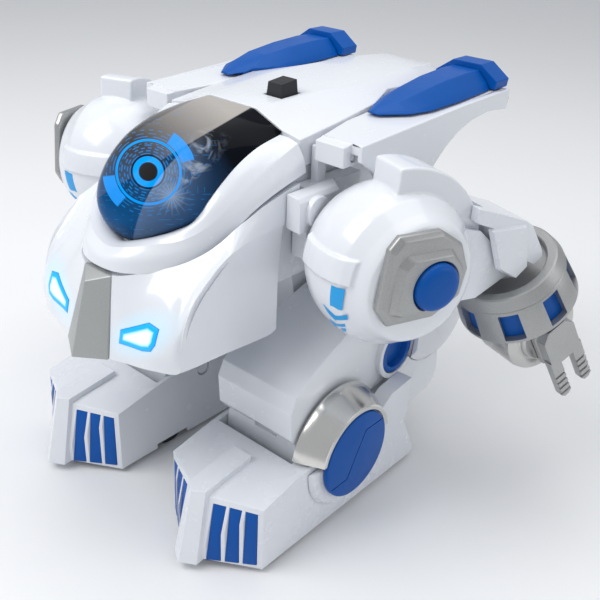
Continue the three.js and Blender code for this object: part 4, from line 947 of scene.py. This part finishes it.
def decal(name, polys, host, mat, M, lift=0.12, thick=0.1):
    """Thin printed shapes that lie on the ball: outlines in the arm frame, pushed out from its centre."""
    out = []
    for side, sg in (("left_", 1), ("right_", -1)):
        bm = bmesh.new()
        for poly in polys:
            cx = [sum(p[k] for p in poly) / len(poly) for k in range(3)]
            N = 5
            ring = []
            for a_, b_ in zip(poly, poly[1:] + poly[:1]):
                for k in range(N):
                    ring.append([a_[i] + (b_[i] - a_[i]) * k / N for i in range(3)])
            loops = []
            for f_ in (1.0, 0.75, 0.5, 0.25):
                lo = []
                for p in ring:
                    q = Vector([cx[i] + (p[i] - cx[i]) * f_ for i in range(3)])
                    rad_ = 35.7 + lift
                    q = q.normalized() * rad_
                    w3 = M @ q
                    lo.append(bm.verts.new(P(sg * w3.x, w3.y, w3.z)))
                loops.append(lo)
            qc = Vector(cx).normalized() * (35.7 + lift)
            w3 = M @ qc
            vc = bm.verts.new(P(sg * w3.x, w3.y, w3.z))
            m_ = len(ring)
            for la, lb in zip(loops, loops[1:]):
                for k in range(m_):
                    bm.faces.new((la[k], la[(k + 1) % m_], lb[(k + 1) % m_], lb[k]))
            for k in range(m_):
                bm.faces.new((loops[-1][k], loops[-1][(k + 1) % m_], vc))
        bmesh.ops.recalc_face_normals(bm, faces=bm.faces)
        centre = P(*(M @ Vector((0, 0, 0))))
        cen = Vector((sg * centre[0], centre[1], centre[2]))
        for fc in bm.faces:
            if fc.normal.dot(fc.calc_center_median() - cen) < 0:
                fc.normal_flip()
        me = D.meshes.new(side + name)
        bm.to_mesh(me)
        bm.free()
        o = D.objects.new(side + name, me)
        bpy.context.scene.collection.objects.link(o)
        me.materials.append(mat.m)
        so = o.modifiers.new("s", "SOLIDIFY")
        so.thickness = thick * MM
        so.offset = -1.0
        apply_mods(o)
        smooth_shade(o, 40)
        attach(o, side + "arm")
        out.append(o)
    return out


print_blue = plastic("bright_cyan_print", (0.0, 0.36, 0.80), (0.0, 0.33, 0.75), 0.35, 0.45, 0.1, 0.1)
TAG = [(10.4, -34.1, 0.6), (16.7, -31.5, 1.0), (15.1, -31.0, -9.2), (13.3, -31.7, -9.8), (10.8, -32.7, -9.2), (9.0, -33.2, -9.5)]
CH = [
    [(4.4, -33.7, -10.9), (10.3, -31.1, -14.1), (8.6, -29.8, -17.6), (5.8, -31.9, -14.9)],
    [(10.3, -31.1, -14.1), (16.7, -29.6, -11.0), (16.2, -28.8, -13.5), (8.9, -29.9, -17.0)],
    [(4.1, -30.0, -18.9), (7.0, -28.3, -20.6), (3.6, -25.5, -24.7), (1.7, -26.3, -24.1)],
    [(7.4, -28.4, -20.2), (13.6, -28.4, -16.9), (12.8, -27.4, -19.1), (6.4, -27.2, -22.0)],
    [(8.0, -26.2, -22.4), (11.8, -26.8, -20.4), (10.6, -25.2, -22.9), (7.0, -24.4, -25.0)],
]
decal("shoulder_print", [TAG] + CH, "shoulder_shell", print_blue, ARM)

for n in frame["nodes"]:
    size = [b - a for a, b in zip(*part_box(n))]
    big = max(size)
    frame["nodes"][n].data.materials.clear()
    frame["nodes"][n].data.materials.append(LOOKS[SLOT_OF[n]].m)
    if n in ("circuit_board", "battery_pack", "belly_shell"):
        continue
    if n not in made:
        crisp(n, 0.3 if "foot_shell" in n else (0.6 if big > 0.06 else (0.45 if big > 0.02 else 0.25)))

# ------------------------------------------------------------------ floor, light, camera
fl = Mat("floor_white")
fl.col((0.86, 0.865, 0.87))
fl.rough(fl.remap(fl.noise(8.0), 0.3, 0.7, 0.55, 0.65))
floor = obj_from("floor", [(-4, -4, -0.0002), (4, -4, -0.0002), (4, 4, -0.0002), (-4, 4, -0.0002)], [(0, 1, 2, 3)], fl)

w = D.worlds.new("studio")
bpy.context.scene.world = w
w.use_nodes = True
w.node_tree.nodes["Background"].inputs[0].default_value = (0.93, 0.955, 1.0, 1)
w.node_tree.nodes["Background"].inputs[1].default_value = 0.55


def area(name, loc, target, size, power, color=(1, 1, 1), size_y=None):
    L = D.lights.new(name, "AREA")
    L.energy = power
    L.color = color
    L.size = size
    if size_y:
        L.shape = "RECTANGLE"
        L.size_y = size_y
    o = D.objects.new(name, L)
    bpy.context.scene.collection.objects.link(o)
    o.location = loc
    o.rotation_euler = (Vector(target) - Vector(loc)).to_track_quat("-Z", "Y").to_euler()
    return o


area("key", (-0.35, -0.65, 1.0), (0, 0, 0.1), 0.7, 7.0)
area("top", (0.0, 0.2, 1.1), (0, 0, 0.1), 0.9, 4.0)
area("rim", (0.9, 0.5, 0.5), (0, 0, 0.1), 0.5, 1.2)

cam = D.objects.new("camera", D.cameras.new("camera"))
bpy.context.scene.collection.objects.link(cam)
cam.data.sensor_width = 36.0
cam.data.lens = 844.472 * 36.0 / 600.0
cam.data.clip_start, cam.data.clip_end = 0.01, 20
az, el, roll = (math.radians(a) for a in (40.0236, 28.3812, 2.6594))
back = Vector((math.sin(az) * math.cos(el), -math.cos(az) * math.cos(el), math.sin(el)))
right = Vector((math.cos(az), math.sin(az), 0))
up = back.cross(right)
R2 = right * math.cos(roll) + up * math.sin(roll)
U2 = -right * math.sin(roll) + up * math.cos(roll)
loc = back * 0.480 + Vector((0, CY * MM, 0.0686))
cam.matrix_world = Matrix(((R2.x, U2.x, back.x, loc.x), (R2.y, U2.y, back.y, loc.y), (R2.z, U2.z, back.z, loc.z), (0, 0, 0, 1)))
bpy.context.scene.camera = cam
bpy.context.scene.view_settings.view_transform = "Standard"
